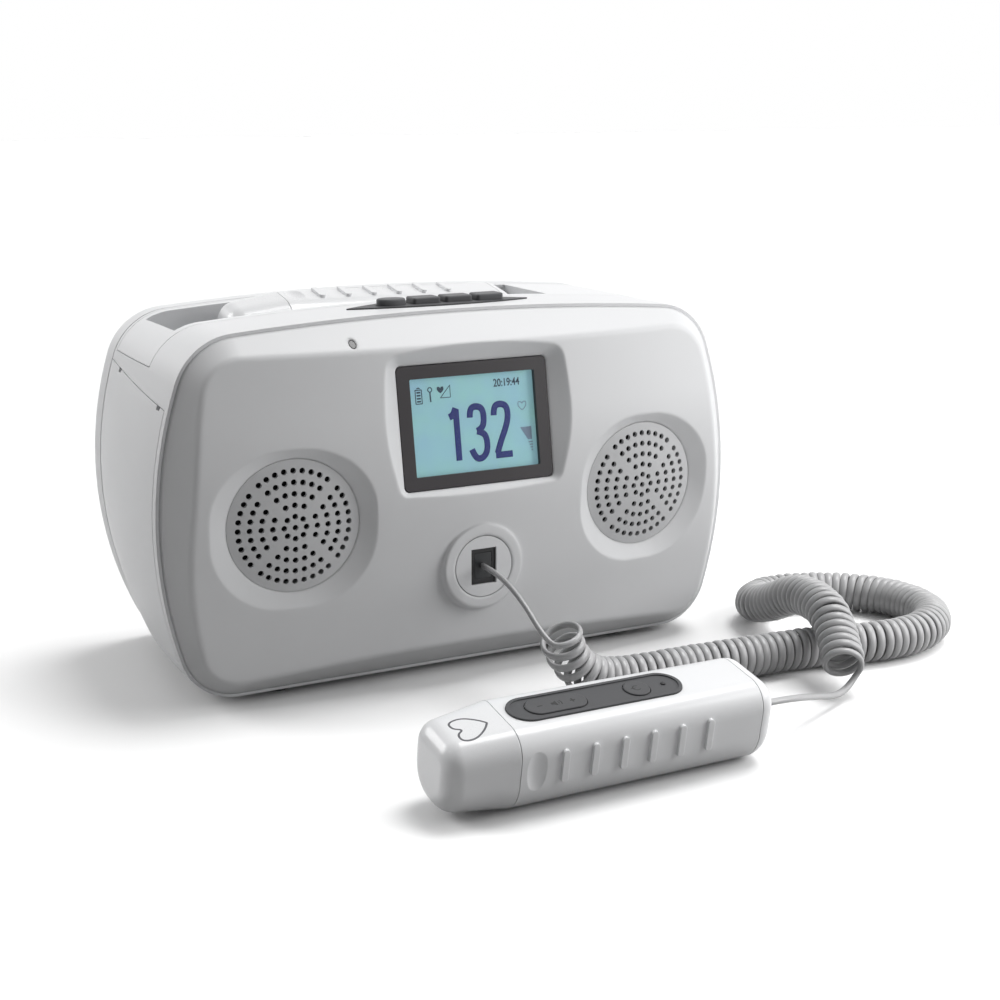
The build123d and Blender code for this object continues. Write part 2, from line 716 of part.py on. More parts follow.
def hole_places():
    """Centres of a grille's holes: one, a full ring, then rings in four sectors that widen outwards."""
    places = [(0.0, 0.0)]
    places += [(HOLE_PITCH, 360 / FIRST_RING * index) for index in range(FIRST_RING)]
    for number, pitch in ARC_RINGS:
        for sector in range(4):
            for step in range(1 - number, number):
                places.append((number * HOLE_PITCH, 90 * sector + step * pitch))
    return [(radius * cos(radians(angle)), radius * sin(radians(angle))) for radius, angle in places]


def speaker_grille(side):
    """Domed disc with a flat edge and round holes."""
    seat = speaker_plane(side)
    ball_r = (GRILLE_R**2 + GRILLE_DOME**2) / (2 * GRILLE_DOME)
    centre = Pos(0, 0, GRILLE_DOME - ball_r)
    dome = centre * (Sphere(ball_r) - Sphere(ball_r - GRILLE_THICK))
    disc = extrude(Plane.XY.offset(-GRILLE_THICK) * Circle(GRILLE_R), GRILLE_DOME + GRILLE_THICK)
    ring = Circle(GRILLE_R) - Circle(GRILLE_R - GRILLE_LEDGE)
    edge = extrude(Plane.XY.offset(-GRILLE_THICK) * ring, GRILLE_THICK)
    holes = Sketch() + [Pos(x, y) * Circle(HOLE_R) for x, y in hole_places()]
    drill = extrude(Plane.XY.offset(-GRILLE_THICK) * holes, GRILLE_DOME + 2 * GRILLE_THICK)
    return seat.location * ((dome & disc) + edge - drill)


def speaker_frame(side):
    """Speaker's basket with its magnet, against the back of the collar."""
    seat = speaker_plane(side).offset(-COLLAR_DEEP)
    back = -DRIVER_DEEP + MAGNET_THICK
    outer = make_face(
        Polyline(
            (0, 0), (DRIVER_R, 0), (DRIVER_R, -DRIVER_RIM), (CONE_R, -DRIVER_RIM), (MAGNET_R, back),
            (MAGNET_R, -DRIVER_DEEP), (0, -DRIVER_DEEP), close=True,
        )
    )
    inner = make_face(
        Polyline(
            (0, 0), (CONE_R, 0), (CONE_R - DRIVER_RIM, -DRIVER_RIM), (MAGNET_R - DRIVER_RIM, back + DRIVER_RIM),
            (0, back + DRIVER_RIM), close=True,
        )
    )
    return seat.location * revolve(Plane.XZ * (outer - inner), Axis.Z)


def speaker_cone(side):
    """Paper cone with its dust cap and surround, seated in the basket's mouth."""
    seat = speaker_plane(side).offset(-COLLAR_DEEP)
    cap = CONE_R * CAP_SHARE
    floor = -DRIVER_DEEP + MAGNET_THICK + 2 * DRIVER_RIM
    profile = make_face(
        Polyline(
            (0, floor + CONE_SKIN), (cap, floor), (CONE_R - CONE_SKIN, -CONE_SKIN), (CONE_R - CONE_SKIN, 0),
            (CONE_R - 2 * CONE_SKIN, 0), (cap, floor + CONE_SKIN), (0, floor + 3 * CONE_SKIN), close=True,
        )
    )
    return seat.location * revolve(Plane.XZ * profile, Axis.Z)


# ---- screen, socket and boards ----


def screen_bezel():
    frame = plate(BEZEL_W, BEZEL_H, BEZEL_R, -BEZEL_THICK, 0)
    return frame - plate(VIEW_W, VIEW_H, VIEW_CORNER, -BEZEL_THICK, 1)


def screen_window():
    return plate(BEZEL_W, BEZEL_H, BEZEL_R, -BEZEL_THICK - WINDOW_THICK, -BEZEL_THICK)


def screen_module():
    start = -BEZEL_THICK - WINDOW_THICK - MODULE_THICK
    return plate(BEZEL_W, BEZEL_H, BEZEL_R, start, start + MODULE_THICK)


def socket_plate():
    """Round plate on the nose, open where the probe plugs in."""
    disc = rod(Plane(origin=(0, 0, SOCKET_Z), z_dir=(0, 1, 0)), PLATE_R, SOCKET_Y, SOCKET_Y + PLATE_THICK)
    return disc - socket_block(0.0, 0.0, RIM_Y)


def port_block(grow, start, end):
    """Block of the plug's outline, between two depths."""
    half_w = PORT_W / 2 + grow
    half_h = PORT_H / 2 + grow
    return block((-half_w, half_w), (start, end), (SOCKET_Z - half_h, SOCKET_Z + half_h))


def probe_socket():
    """Socket body between the plate and the main board, with the plug's cavity."""
    face = SOCKET_Y + SOCKET_STEP
    return socket_block(-FIT, face, MAIN_BOARD_Y) - port_block(0.0, face, face + PORT_DEEP)


def main_board():
    board = block(
        (-MAIN_BOARD_W / 2, MAIN_BOARD_W / 2),
        (MAIN_BOARD_Y, MAIN_BOARD_Y + BOARD_THICK),
        (MAIN_BOARD_LOW, MAIN_BOARD_HIGH),
    )
    holes = [
        rod(Plane(origin=(x, 0, z), z_dir=(0, 1, 0)), SCREW_R + FIT, MAIN_BOARD_Y, MAIN_BOARD_Y + BOARD_THICK)
        for x, z in board_places()
    ]
    return board - holes


def board_parts():
    """Chips, capacitors and connectors on the back of the main board."""
    back = MAIN_BOARD_Y + BOARD_THICK
    chips = [
        block((x - w / 2, x + w / 2), (back, back + t), (z - h / 2, z + h / 2)) for x, z, w, h, t in BOARD_CHIPS
    ]
    cans = [rod(Plane(origin=(x, 0, z), z_dir=(0, 1, 0)), CAN_R, back, back + CAN_LONG) for x, z in BOARD_CANS]
    return chips + cans


def board_screws():
    """Screws through the main board into its posts, and through the key board into its own."""
    back = MAIN_BOARD_Y + BOARD_THICK
    screws = []
    for x, z in board_places():
        axis = Plane(origin=(x, 0, z), z_dir=(0, 1, 0))
        head = rod(axis, SCREW_HEAD_R, back, back + SCREW_HEAD)
        screws.append(head + rod(axis, SCREW_R, back - SCREW_LONG, back))
    for side in (-1, 1):
        axis = Plane(origin=(side * KEY_POST_X, KEYS_Y, KEY_BOARD_Z - BOARD_THICK), z_dir=(0, 0, 1))
        screws.append(rod(axis, SCREW_HEAD_R, -SCREW_HEAD, 0) + rod(axis, SCREW_R, 0, SCREW_LONG))
    return screws


# ---- back of the casing ----


def rear_form(inset):
    """The back of the casing behind its seam, with rounded back edges, shrunk by inset."""
    form = extrude(across(REAR_Y - inset) * rear_outline(inset), REAR_Y - inset - SEAM_Y)
    return fillet(form.edges().group_by(Axis.Y)[-1], REAR_R - inset)


def well(grow, start, end):
    """Block round the battery, grown by grow, between two depths."""
    half_w = BATTERY_W / 2 + BATTERY_FIT + grow
    low = BATTERY_LOW - grow
    high = BATTERY_LOW + BATTERY_H + BATTERY_FIT + grow
    return block((-half_w, half_w), (start, end), (low, high))


WELL_FRONT = REAR_Y - DOOR_THICK - BATTERY_D - 2 * BATTERY_FIT


def inlet_rod(radius, start, end):
    """Cylinder on the power inlet's axis, between two distances ahead of the back face."""
    return rod(Plane(origin=(INLET_X, REAR_Y, INLET_Z), z_dir=(0, -1, 0)), radius, start, end)


def rear_cover():
    """Back of the casing, with the battery well, the screw wells and the power inlet's hole."""
    groove = ring(rear_outline, -SEAM_GAP, SEAM_GAP, SEAM_Y, SEAM_Y + SEAM_GAP)
    lip_out = THICK_WALL + LIP_FIT
    lip = ring(rear_outline, lip_out, lip_out + LIP_WALL, SEAM_Y - LIP, SEAM_Y + WALL)
    web = ring(rear_outline, WALL / 2, lip_out + LIP_WALL, SEAM_Y, SEAM_Y + WALL) - groove
    boss_start = SEAM_Y - LIP - LIP_FIT + FIT
    reach = rear_form(WALL / 2) + block((-FAR, FAR), (0, SEAM_Y), (0, FAR))
    tubes = rear_bosses(BOSS_R, boss_start, REAR_Y) & reach
    walls = [
        well(WELL_WALL, WELL_FRONT - WELL_WALL, REAR_Y),
        well(2 * DOOR_LEDGE, REAR_Y - 2 * DOOR_THICK, REAR_Y),
    ]
    cover = joined([rear_form(0.0) - rear_form(WALL), lip, web]) - groove
    cover = joined([cover, tubes, *walls])
    openings = [
        well(0.0, WELL_FRONT, REAR_Y),
        well(DOOR_LEDGE, REAR_Y - DOOR_THICK, REAR_Y),
        rear_bosses(SCREW_HEAD_R + FIT, boss_start + CASE_SCREW_SEAT, REAR_Y + 1),
        rear_bosses(SCREW_R + FIT, boss_start, REAR_Y),
        inlet_rod(INLET_R + FIT, 0, 2 * WALL),
    ]
    return cut(cover, openings)


def battery_door():
    """Flat door over the battery, flush with the back, with a shallow finger groove."""
    door = well(DOOR_LEDGE - SLOT_FIT, REAR_Y - DOOR_THICK, REAR_Y)
    door = fillet(door.edges().filter_by(Axis.Y), DOOR_CORNER)
    middle = BATTERY_LOW + BATTERY_H
    groove = block((-GRIP_W / 2, GRIP_W / 2), (REAR_Y - DOOR_THICK / 2, REAR_Y), (middle - GRIP_H, middle))
    return door - groove


def battery_pack():
    """Flat pack of cells in a wrapper, standing on the floor of its well."""
    start = WELL_FRONT + BATTERY_FIT
    half = BATTERY_W / 2
    pack = block((-half, half), (start, start + BATTERY_D), (BATTERY_LOW, BATTERY_LOW + BATTERY_H))
    return fillet(pack.edges().filter_by(Axis.X), PACK_SOFT)


def power_inlet():
    """Round mains-adapter inlet with its centre pin, flanged against the inside of the wall."""
    body = inlet_rod(INLET_R, INLET_STEP, INLET_LONG) + inlet_rod(INLET_R + WALL, WALL, WALL + INLET_FLANGE)
    body -= inlet_rod(INLET_BORE_R, 0, INLET_LONG - WALL)
    return body + inlet_rod(INLET_PIN_R, 2 * INLET_STEP, INLET_LONG - WALL)


def case_screws():
    boss_start = SEAM_Y - LIP - LIP_FIT + FIT
    head = boss_start + CASE_SCREW_SEAT
    shape = rear_bosses(SCREW_R, boss_start - BOSS_LONG / 3, head)
    shape += rear_bosses(SCREW_HEAD_R, head, head + SCREW_HEAD)
    return list(shape.solids())


def feet():
    """Four rubber feet under the flat base."""
    foot = extrude(Circle(FOOT_R), CASE_BASE)
    foot = chamfer(foot.edges().group_by(Axis.Z)[0], FOOT_SOFT)
    return [Pos(side * FOOT_X, y, 0) * foot for side in (-1, 1) for y in FOOT_YS]


# ---- probes, modelled along +X from the tip, keys upwards ----


def probe_section(x, width, height, inset):
    """Cross-section of a probe: tighter corners beside the keys, nearly round below."""
    base_r = PROBE_BASE_R - (PROBE_W - width) / 3
    face = Rectangle(width - 2 * inset, height - 2 * inset)
    face = fillet(face.vertices().group_by(Axis.Y)[-1], PROBE_TOP_R - inset)
    face = fillet(face.vertices().group_by(Axis.Y)[0], base_r - inset)
    return Plane.YZ.offset(x) * face


def probe_form(inset):
    """A probe's form shrunk by inset: the head narrows towards the tip, the rest slightly towards the tail."""
    sections = [
        probe_section(inset, PROBE_TIP_W, PROBE_TIP_H, inset),
        probe_section(HEAD_LONG, PROBE_W, PROBE_H, inset),
        probe_section(PROBE_LONG - inset, PROBE_TAIL_W, PROBE_H, inset),
    ]
    form = loft(sections, ruled=True)
    form = fillet(form.edges().group_by(Axis.X)[0], HEAD_SOFT - inset)
    return fillet(form.edges().group_by(Axis.X)[-1], TAIL_SOFT - inset)


def stretch(start, end):
    """All of a probe between two distances from its tip."""
    return block((start, end), (-PROBE_W, PROBE_W), (-PROBE_H, PROBE_H))


def stadium(start, length, width, low, high):
    """Upright round-ended plate along the probe's middle line."""
    return Pos(start + length / 2, 0, low) * extrude(SlotOverall(length, width), high - low)


def key_shapes(grow, low, high):
    """The rocker and the round key of a probe, grown by grow, between two heights."""
    rocker = stadium(PAD_START + ROCKER_START - grow, ROCKER_LONG + 2 * grow, ROCKER_W + 2 * grow, low, high)
    button = Pos(PAD_START + ROUND_AT, 0, low) * extrude(Circle(ROUND_R + grow), high - low)
    return rocker, button


PAD_TOP = PROBE_H / 2 + PAD_RISE
PAD_FIELD = PAD_TOP - PAD_RIM / 3  # the pad's middle lies a little below its rim
PROBE_WALL_IN = PROBE_H / 2 - PROBE_WALL


def lamp_rod(grow, low, high):
    return Pos(PAD_START + PROBE_LAMP_AT, 0, low) * extrude(Circle(PROBE_LAMP_R + grow), high - low)


def probe_body():
    """Middle sleeve of a probe, with ribs and a dimple on each side and openings for the keys."""
    middle = stretch(HEAD_LONG, PROBE_LONG - TAIL_LONG)
    hollow = probe_form(PROBE_WALL)
    body = (probe_form(0.0) - hollow) & middle
    rib = Plane.XZ.offset(-PROBE_W) * Pos(RIB_START, RIB_MIDDLE) * SlotOverall(RIB_TALL, RIB_WIDE, rotation=90)
    ribs = [Pos(index * RIB_PITCH, 0, 0) * extrude(rib, 2 * PROBE_W) for index in range(RIB_COUNT)]
    body += ((probe_form(-RIB_PROUD) - probe_form(PROBE_WALL / 2)) & (Part() + ribs)) & middle
    half_chord = (DIMPLE_ARC_R**2 - (DIMPLE_ARC_R - DIMPLE_R) ** 2) ** 0.5
    arc = ThreePointArc((0, -half_chord), (DIMPLE_R, 0), (0, half_chord))
    spindle = revolve(Plane.XZ * make_face([arc, Line((0, half_chord), (0, -half_chord))]), Axis.Z)
    for side in (-1, 1):
        body -= Pos(DIMPLE_X, side * (PROBE_W / 2 + DIMPLE_R - DIMPLE_DEEP), RIB_MIDDLE) * spindle
    posts = [
        Pos(x, 0, PROBE_BOARD_Z) * extrude(Circle(POST_R), PROBE_WALL_IN - PROBE_BOARD_Z + PROBE_WALL / 2)
        for x in PROBE_POST_XS
    ]
    body += posts
    body -= stadium(PAD_START - FIT, PAD_LONG + 2 * FIT, PAD_W + 2 * FIT, PAD_TOP - PAD_THICK, PROBE_H)
    body -= key_shapes(PROBE_KEY_FIT, 0, PROBE_H)
    return body - lamp_rod(FIT, 0, PROBE_H)


def probe_lip(start, end):
    """Short sleeve inside the body that keeps an end piece in line."""
    return (probe_form(PROBE_WALL + FIT) - probe_form(2 * PROBE_WALL)) & stretch(start, end)


def probe_head():
    """Rounded sensing end, closed at the tip."""
    shell = (probe_form(0.0) - probe_form(PROBE_WALL)) & stretch(0, HEAD_LONG - SEAM_LINE)
    return shell + (probe_lip(HEAD_LONG - LIP, HEAD_LONG + LIP / 2) + neck(HEAD_LONG - LIP, HEAD_LONG - LIP / 2))


def neck(start, end):
    """Solid band that joins an end piece's wall to its lip."""
    return (probe_form(PROBE_WALL / 2) - probe_form(2 * PROBE_WALL)) & stretch(start, end)


def probe_cap(gland_r):
    """Rounded end cap, with a hole for the cord."""
    start = PROBE_LONG - TAIL_LONG
    shell = (probe_form(0.0) - probe_form(PROBE_WALL)) & stretch(start + SEAM_LINE, PROBE_LONG)
    lip = probe_lip(start - LIP / 2, start + LIP / 2)
    band = neck(start + SEAM_LINE, start + LIP / 2)
    return shell + lip + band - rod(Plane.YZ, gland_r + FIT, PROBE_LONG - 2 * PROBE_WALL, PROBE_LONG + 1)


def probe_pad():
    """Dark key pad let into the top of a probe, with a raised rim."""
    pad = stadium(PAD_START, PAD_LONG, PAD_W, PAD_TOP - PAD_THICK, PAD_TOP)
    pad -= stadium(PAD_START + PAD_RIM, PAD_LONG - 2 * PAD_RIM, PAD_W - 2 * PAD_RIM, PAD_FIELD, PROBE_H)
    pad -= key_shapes(PROBE_KEY_FIT, 0, PROBE_H)
    return pad - lamp_rod(FIT, 0, PROBE_H)


def probe_key(number):
    """The rocker or the round key, with a flange under the wall and a stem over its switch."""
    cap = key_shapes(0.0, PROBE_WALL_IN - PROBE_KEY_GAP, PAD_FIELD + PROBE_KEY_PROUD)[number]
    cap = fillet(cap.edges().group_by(Axis.Z)[-1], PROBE_KEY_SOFT)
    flange_top = PROBE_WALL_IN - PROBE_KEY_GAP
    flange = key_shapes(PROBE_KEY_FLANGE, flange_top - PROBE_KEY_FLANGE, flange_top)[number]
    foot = PROBE_BOARD_Z + PROBE_SWITCH_TALL + PROBE_KEY_TRAVEL + FIT
    stems = [Pos(x, 0, foot) * extrude(Circle(PROBE_STEM_R), flange_top - foot) for x in PROBE_SWITCH_XS[number]]
    return cap + flange + stems


def probe_board():
    """Narrow board under the keys with its switches and a chip."""
    board_start = PROBE_BOARD_START
    half = PROBE_BOARD_W / 2
    top = PROBE_BOARD_Z
    board = block((board_start, board_start + PROBE_BOARD_LONG), (-half, half), (top - BOARD_THICK, top))
    pieces = [board]
    for places in PROBE_SWITCH_XS:
        switch = extrude(Rectangle(SWITCH_SIDE, SWITCH_SIDE), PROBE_SWITCH_TALL)
        pieces += [Pos(x, 0, top) * switch for x in places]
    chip_end = PROBE_POST_XS[1] - 2 * POST_R
    chip_ends = (chip_end - SWITCH_SIDE, chip_end)
    pieces.append(block(chip_ends, (-SWITCH_SIDE, SWITCH_SIDE), (top, top + BOARD_THICK)))
    return pieces


def probe_crystals():
    """Two half discs against the inside of the probe's end: one sends, one listens."""
    disc = rod(Plane.YZ, CRYSTAL_R, PROBE_WALL, PROBE_WALL + CRYSTAL_THICK)
    gap = block((0, HEAD_LONG), (-PROBE_W, PROBE_W), (-CRYSTAL_GAP / 2, CRYSTAL_GAP / 2))
    return list((disc - gap).solids())


def probe_lamp():
    return lamp_rod(0.0, PROBE_BOARD_Z, PAD_FIELD + PROBE_LAMP_R / 2)


def probe_pieces(prefix, place, gland_r):
    """All the pieces of one probe, put in place and named."""
    pieces = {
        "probe_body": probe_body(),
        "probe_head": probe_head(),
        "probe_cap": probe_cap(gland_r),
        "key_pad": probe_pad(),
        "rocker_key": probe_key(0),
        "round_key": probe_key(1),
        "crystals": probe_crystals(),
        "probe_board": probe_board(),
        "lamp": probe_lamp(),
    }
    moved = {}
    for name, shape in pieces.items():
        moved[f"{prefix}_{name}"] = [place * piece for piece in as_list(shape)]
    return moved


def as_list(shape):
    return shape if isinstance(shape, list) else [shape]


def wired_place():
    """The wired probe lies on the table, rolled towards the front, its ribs as far front as the back is rear."""
    ribbed = (Rot(X=WIRED_ROLL) * probe_form(-RIB_PROUD)).bounding_box()
    bare = (Rot(X=WIRED_ROLL) * probe_form(0.0)).bounding_box()
    return Pos(WIRED_X, -REAR_Y - ribbed.min.Y, -bare.min.Z) * Rot(X=WIRED_ROLL)


def docked_place():
    """The docked probe lies in the trough, rolled so that its ribbed side looks up."""
    box = (Rot(X=DOCKED_ROLL) * probe_form(-RIB_PROUD)).bounding_box()
    middle = (box.min.Y + box.max.Y) / 2
    return Pos(DOCKED_X, DOCK_Y - middle, DOCK_FLOOR + DOCKED_REST - box.min.Z) * Rot(X=DOCKED_ROLL)


# ---- cord ----


def tube(name, route, diameter):
    """Round tube along straight runs joined by tangent arcs; prints its radii and its volume's error."""
    points = [Vector(*point) for point in route]
    radii = []
    for before, here, after in zip(points, points[1:], points[2:]):
        turn = radians((here - before).get_angle(after - here))
        shorter = min((here - before).length, (after - here).length)
        radii.append(ARC_SHARE * shorter / tan(turn / 2))
    path = FilletPolyline(*points, radius=radii)
    start = Plane(origin=points[0], z_dir=points[1] - points[0])
    solid = sweep(start * Circle(diameter / 2), path)
    share = solid.volume / (pi * diameter**2 / 4 * path.length)
    rounded = [round(radius) for radius in radii]
    print(name, "length", round(path.length, 1), "radii", rounded, "share", round(share, 4))
    return solid


def cord_plug():
    """Clear plug on the cord's end, in the socket's cavity."""
    face = SOCKET_Y + SOCKET_STEP
    return port_block(-PLUG_FIT, face, face + PLUG_LONG)


def cord_gland(place):
    """Short sleeve that leads the cord into the wired probe."""
    sleeve = rod(Plane.YZ, GLAND_R, PROBE_LONG - 2 * PROBE_WALL, PROBE_LONG + GLAND_LONG)
    return place * fillet(sleeve.edges().group_by(Axis.X)[-1], GLAND_R / 2)


def main():
    wired = wired_place()
    gland_end = (wired * Pos(PROBE_LONG + GLAND_LONG, 0, 0)).position
    tail_route = TAIL_ROUTE + (tuple(gland_end + Vector(TAIL_RUN, 0, 0)), tuple(gland_end))
    nodes = {
        "main_housing": main_housing(),
        "front_shell": front_shell(),
        "rear_cover": rear_cover(),
        "probe_cradle": probe_cradle(),
        "key_panel": key_panel(),
        "key_board": key_board(),
        "key_switches": key_switches(),
        "screen_bezel": screen_bezel(),
        "screen_window": screen_window(),
        "screen_module": screen_module(),
        "indicator": indicator(),
        "socket_plate": socket_plate(),
        "probe_socket": probe_socket(),
        "main_board": main_board(),
        "board_parts": board_parts(),
        "board_screws": board_screws(),
        "battery_pack": battery_pack(),
        "battery_door": battery_door(),
        "power_inlet": power_inlet(),
        "case_screws": case_screws(),
        "feet": feet(),
        "cord_plug": cord_plug(),
        "cord_lead": tube("lead", LEAD_ROUTE, CORD_D),
        "cord_coil": tube("coil", COIL_ROUTE, COIL_D),
        "cord_tail": tube("tail", tail_route, CORD_D),
        "cord_gland": cord_gland(wired),
    }
    for side, name in ((-1, "left"), (1, "right")):
        nodes[f"{name}_side_cover"] = side_cover(side)
        nodes[f"speaker_grille_{name}"] = speaker_grille(side)
        nodes[f"speaker_frame_{name}"] = speaker_frame(side)
        nodes[f"speaker_cone_{name}"] = speaker_cone(side)
    for index in range(KEY_COUNT):
        nodes[f"key_{index + 1}"] = top_key(index)
    nodes |= probe_pieces("wired", wired, GLAND_R)
    nodes |= probe_pieces("docked", docked_place(), CORD_D / 2)
    os.makedirs("parts", exist_ok=True)
    for name, shape in nodes.items():
        export_step(Compound(children=as_list(shape)), f"parts/{name}.step")


main()
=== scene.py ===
"""Fetal doppler monitor with two probes: finishes, display, prints, curly cord and stage."""

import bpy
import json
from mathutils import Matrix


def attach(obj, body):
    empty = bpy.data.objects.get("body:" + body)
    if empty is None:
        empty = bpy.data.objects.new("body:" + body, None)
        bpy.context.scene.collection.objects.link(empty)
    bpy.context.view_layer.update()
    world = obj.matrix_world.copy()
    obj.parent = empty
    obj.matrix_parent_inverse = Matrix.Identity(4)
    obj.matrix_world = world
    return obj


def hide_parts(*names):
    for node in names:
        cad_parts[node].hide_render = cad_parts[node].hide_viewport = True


bl_info = {
    "name": "Doppler Monitor",
    "version": (1, 0, 0),
    "blender": (4, 5, 0),
    "location": "3D View > Sidebar > Doppler",
    "description": "Dresses a fetal doppler monitor with its finishes, display, prints and curly cord",
    "category": "Object",
}

import json
import math

import bmesh
import bpy
from mathutils import Matrix, Vector
from mathutils.bvhtree import BVHTree

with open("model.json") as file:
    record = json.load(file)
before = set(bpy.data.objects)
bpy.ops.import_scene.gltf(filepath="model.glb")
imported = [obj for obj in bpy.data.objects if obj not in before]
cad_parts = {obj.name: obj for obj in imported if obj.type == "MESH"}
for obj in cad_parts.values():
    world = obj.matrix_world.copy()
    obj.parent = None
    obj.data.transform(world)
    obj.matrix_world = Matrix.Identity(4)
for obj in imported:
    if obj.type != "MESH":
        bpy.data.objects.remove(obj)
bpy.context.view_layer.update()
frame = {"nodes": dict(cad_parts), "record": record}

MM = 0.001
NODES = frame["nodes"]
JOINTS = {joint["name"]: joint for joint in frame["record"]["behaviour"]["joints"]}

# ---- cord: the tubes' routes, in millimetres ----
LEAD_ROUTE = (
    (0.0, 4.2, 53.7), (0.0, -7.0, 53.7), (1.0, -19.5, 50.5), (1.4, -33.5, 44.8), (2.5, -43.5, 37.0),
)
COIL_ROUTE = (
    (10.5, -46.0, 36.0), (15.5, -43.0, 23.0), (28.0, -45.0, 11.5), (46.0, -46.0, 9.8),
    (76.0, -46.0, 9.8), (110.0, -48.0, 9.8), (142.0, -50.0, 9.8), (172.0, -58.0, 9.8),
    (200.0, -58.0, 9.8), (224.0, -42.0, 9.8), (230.0, -14.0, 9.8), (218.0, 10.0, 9.8),
    (196.0, 24.0, 9.8), (172.0, 28.0, 9.8), (155.0, 16.0, 10.5), (152.0, -6.0, 17.5),
    (149.0, -30.0, 30.0), (144.0, -58.0, 30.5), (137.5, -75.0, 21.0), (130.5, -88.0, 13.6),
)
TAIL_ROUTE = (
    (130.0, -91.0, 4.9), (119.0, -97.0, 5.2), (103.0, -104.0, 10.0), (88.0, -112.5, 15.0),
)
TAIL_RUN = 9.0  # straight run into the strain relief
GLAND_END = 148.0  # where the strain relief ends, from the probe's tip
START_SIDE, END_SIDE = (-5.5, -5.0, -2.0), (6.5, 0.5, -3.0)  # sides on which it joins and leaves the coil
START_R, END_R = 9.3, 7.6  # radii at which it does so
JOINING = 1.4  # share of those radii that is gone after one turn
CORD_SPREAD = 0.035  # share by which the control points stand outside a turn of the spline
COIL_INSET = 0.15  # the coil's middle line lies this much further in
COIL_WAVE, COIL_WAVE_TURN = 0.012, 1.9  # share by which turns differ in size, and how fast
TURN_POINTS = 14
STRAND_SIDES = 12

# ---- stage, in metres and degrees ----
LENS, SENSOR = 60.87, 36.0  # in millimetres
CAMERA_AT, CAMERA_DOWN, CAMERA_TURN = (-0.3282, -0.6394, 0.2605), 13.75, -27.62
SUN_TILT, SUN_TURN, SUN_SPREAD = 21, 100, 28
RIM_TILT, RIM_TURN, RIM_SPREAD, RIM_SHARE = 64, -138, 30, 0.75
SOFTBOX_AT, SOFTBOX_AIM, SOFTBOX_SIZE = (0.42, -0.28, 0.27), (0, 0, 0.09), 0.35
SKY_BRIGHTEST = (0.55, 0.35, 0.75)  # direction of the sky's brightest part
SKY_FALL, SKY_MEAN, SKY_LEAST = 0.65, 0.35, 0.08  # how the sky's strength follows that direction
FLOOR_HALF = 8.0
FLOOR_BOUNCE = 0.3  # shade of the floor for the light that it throws back

# ---- display, in millimetres from the lower left corner of the lit area ----
SCREEN_Y, SCREEN_Z, SCREEN_LEAN = 10.3, 117.2, 9.3
VIEW_W, VIEW_H = 60.8, 42.4
VIEW_DEPTH = 3.05  # the lit layer lies this far behind the bezel's front
INK_AT, CLOCK_AT = -2.9, -2.88  # heights of the numbers and of the clock over the bezel's front
DIGIT_STROKE = 2.9
DIGITS = (
    ((18.9, 24.6), (20.6, 25.2), (21.6, 26.9), (22.2, 28.4)),
    ((22.3, 27.8), (22.3, 20.0), (22.3, 12.0), (22.3, 5.3)),
    ((28.9, 23.6), (29.0, 27.4), (32.1, 28.6), (35.4, 27.2), (35.8, 22.0), (34.6, 18.3), (31.9, 17.4)),
    ((31.9, 17.4), (35.0, 16.6), (36.6, 13.6), (36.4, 8.0), (33.6, 5.0), (30.2, 5.6), (28.8, 9.6)),
    ((40.7, 23.6), (40.9, 27.6), (44.2, 28.7), (47.4, 27.3), (47.8, 22.4), (46.2, 17.6), (43.0, 11.2),
     (41.3, 6.7)),
    ((40.4, 5.9), (43.6, 5.9), (46.0, 5.9), (48.8, 5.9)),
)
CLOCK = "20:19:44"
CLOCK_PLACE, CLOCK_SIZE, CLOCK_STRETCH = (41.6, 36.2), 4.6, (0.83, 1.05)
CLOCK_BOLD, CLOCK_THICK = 0.06, 0.04

# ---- probe prints, in millimetres along the probe from its tip and across it ----
HEART_AT, HEART_SIZE = (14.6, -2.2), 6.6
ROCKER_MIDDLE = 51.25
ROCKER_HINGE = 17.0  # height of the rocker's joint over the probe's axis
ROUND_MIDDLE = 86.7

# ---- prints ----
PRINT_THICK = 0.08  # in millimetres
SURVEY_HEIGHT = 40.0  # height in millimetres from which a print is laid on a surface
FLAT = Matrix()  # the plane of a print before it is laid on a surface


class MonitorSettings(bpy.types.PropertyGroup):
    shell_colour: bpy.props.FloatVectorProperty(
        name="Shell colour", description="Colour of the casing", subtype="COLOR", size=3,
        default=(0.72, 0.725, 0.735), min=0, max=1)
    key_colour: bpy.props.FloatVectorProperty(
        name="Key colour", description="Colour of the keys and their panel", subtype="COLOR", size=3,
        default=(0.08, 0.081, 0.085), min=0, max=1)
    softness: bpy.props.FloatProperty(
        name="Edge softness", description="Rounding of the recess mouths and of the nose", unit="LENGTH",
        default=2.2 * MM, min=0.2 * MM, max=2.5 * MM)


class DisplaySettings(bpy.types.PropertyGroup):
    back_colour: bpy.props.FloatVectorProperty(
        name="Back colour", description="Colour of the lit area", subtype="COLOR", size=3,
        default=(0.3, 0.51, 0.54), min=0, max=1)
    ink_colour: bpy.props.FloatVectorProperty(
        name="Ink colour", description="Colour of the large numbers", subtype="COLOR", size=3,
        default=(0.006, 0.018, 0.22), min=0, max=1)


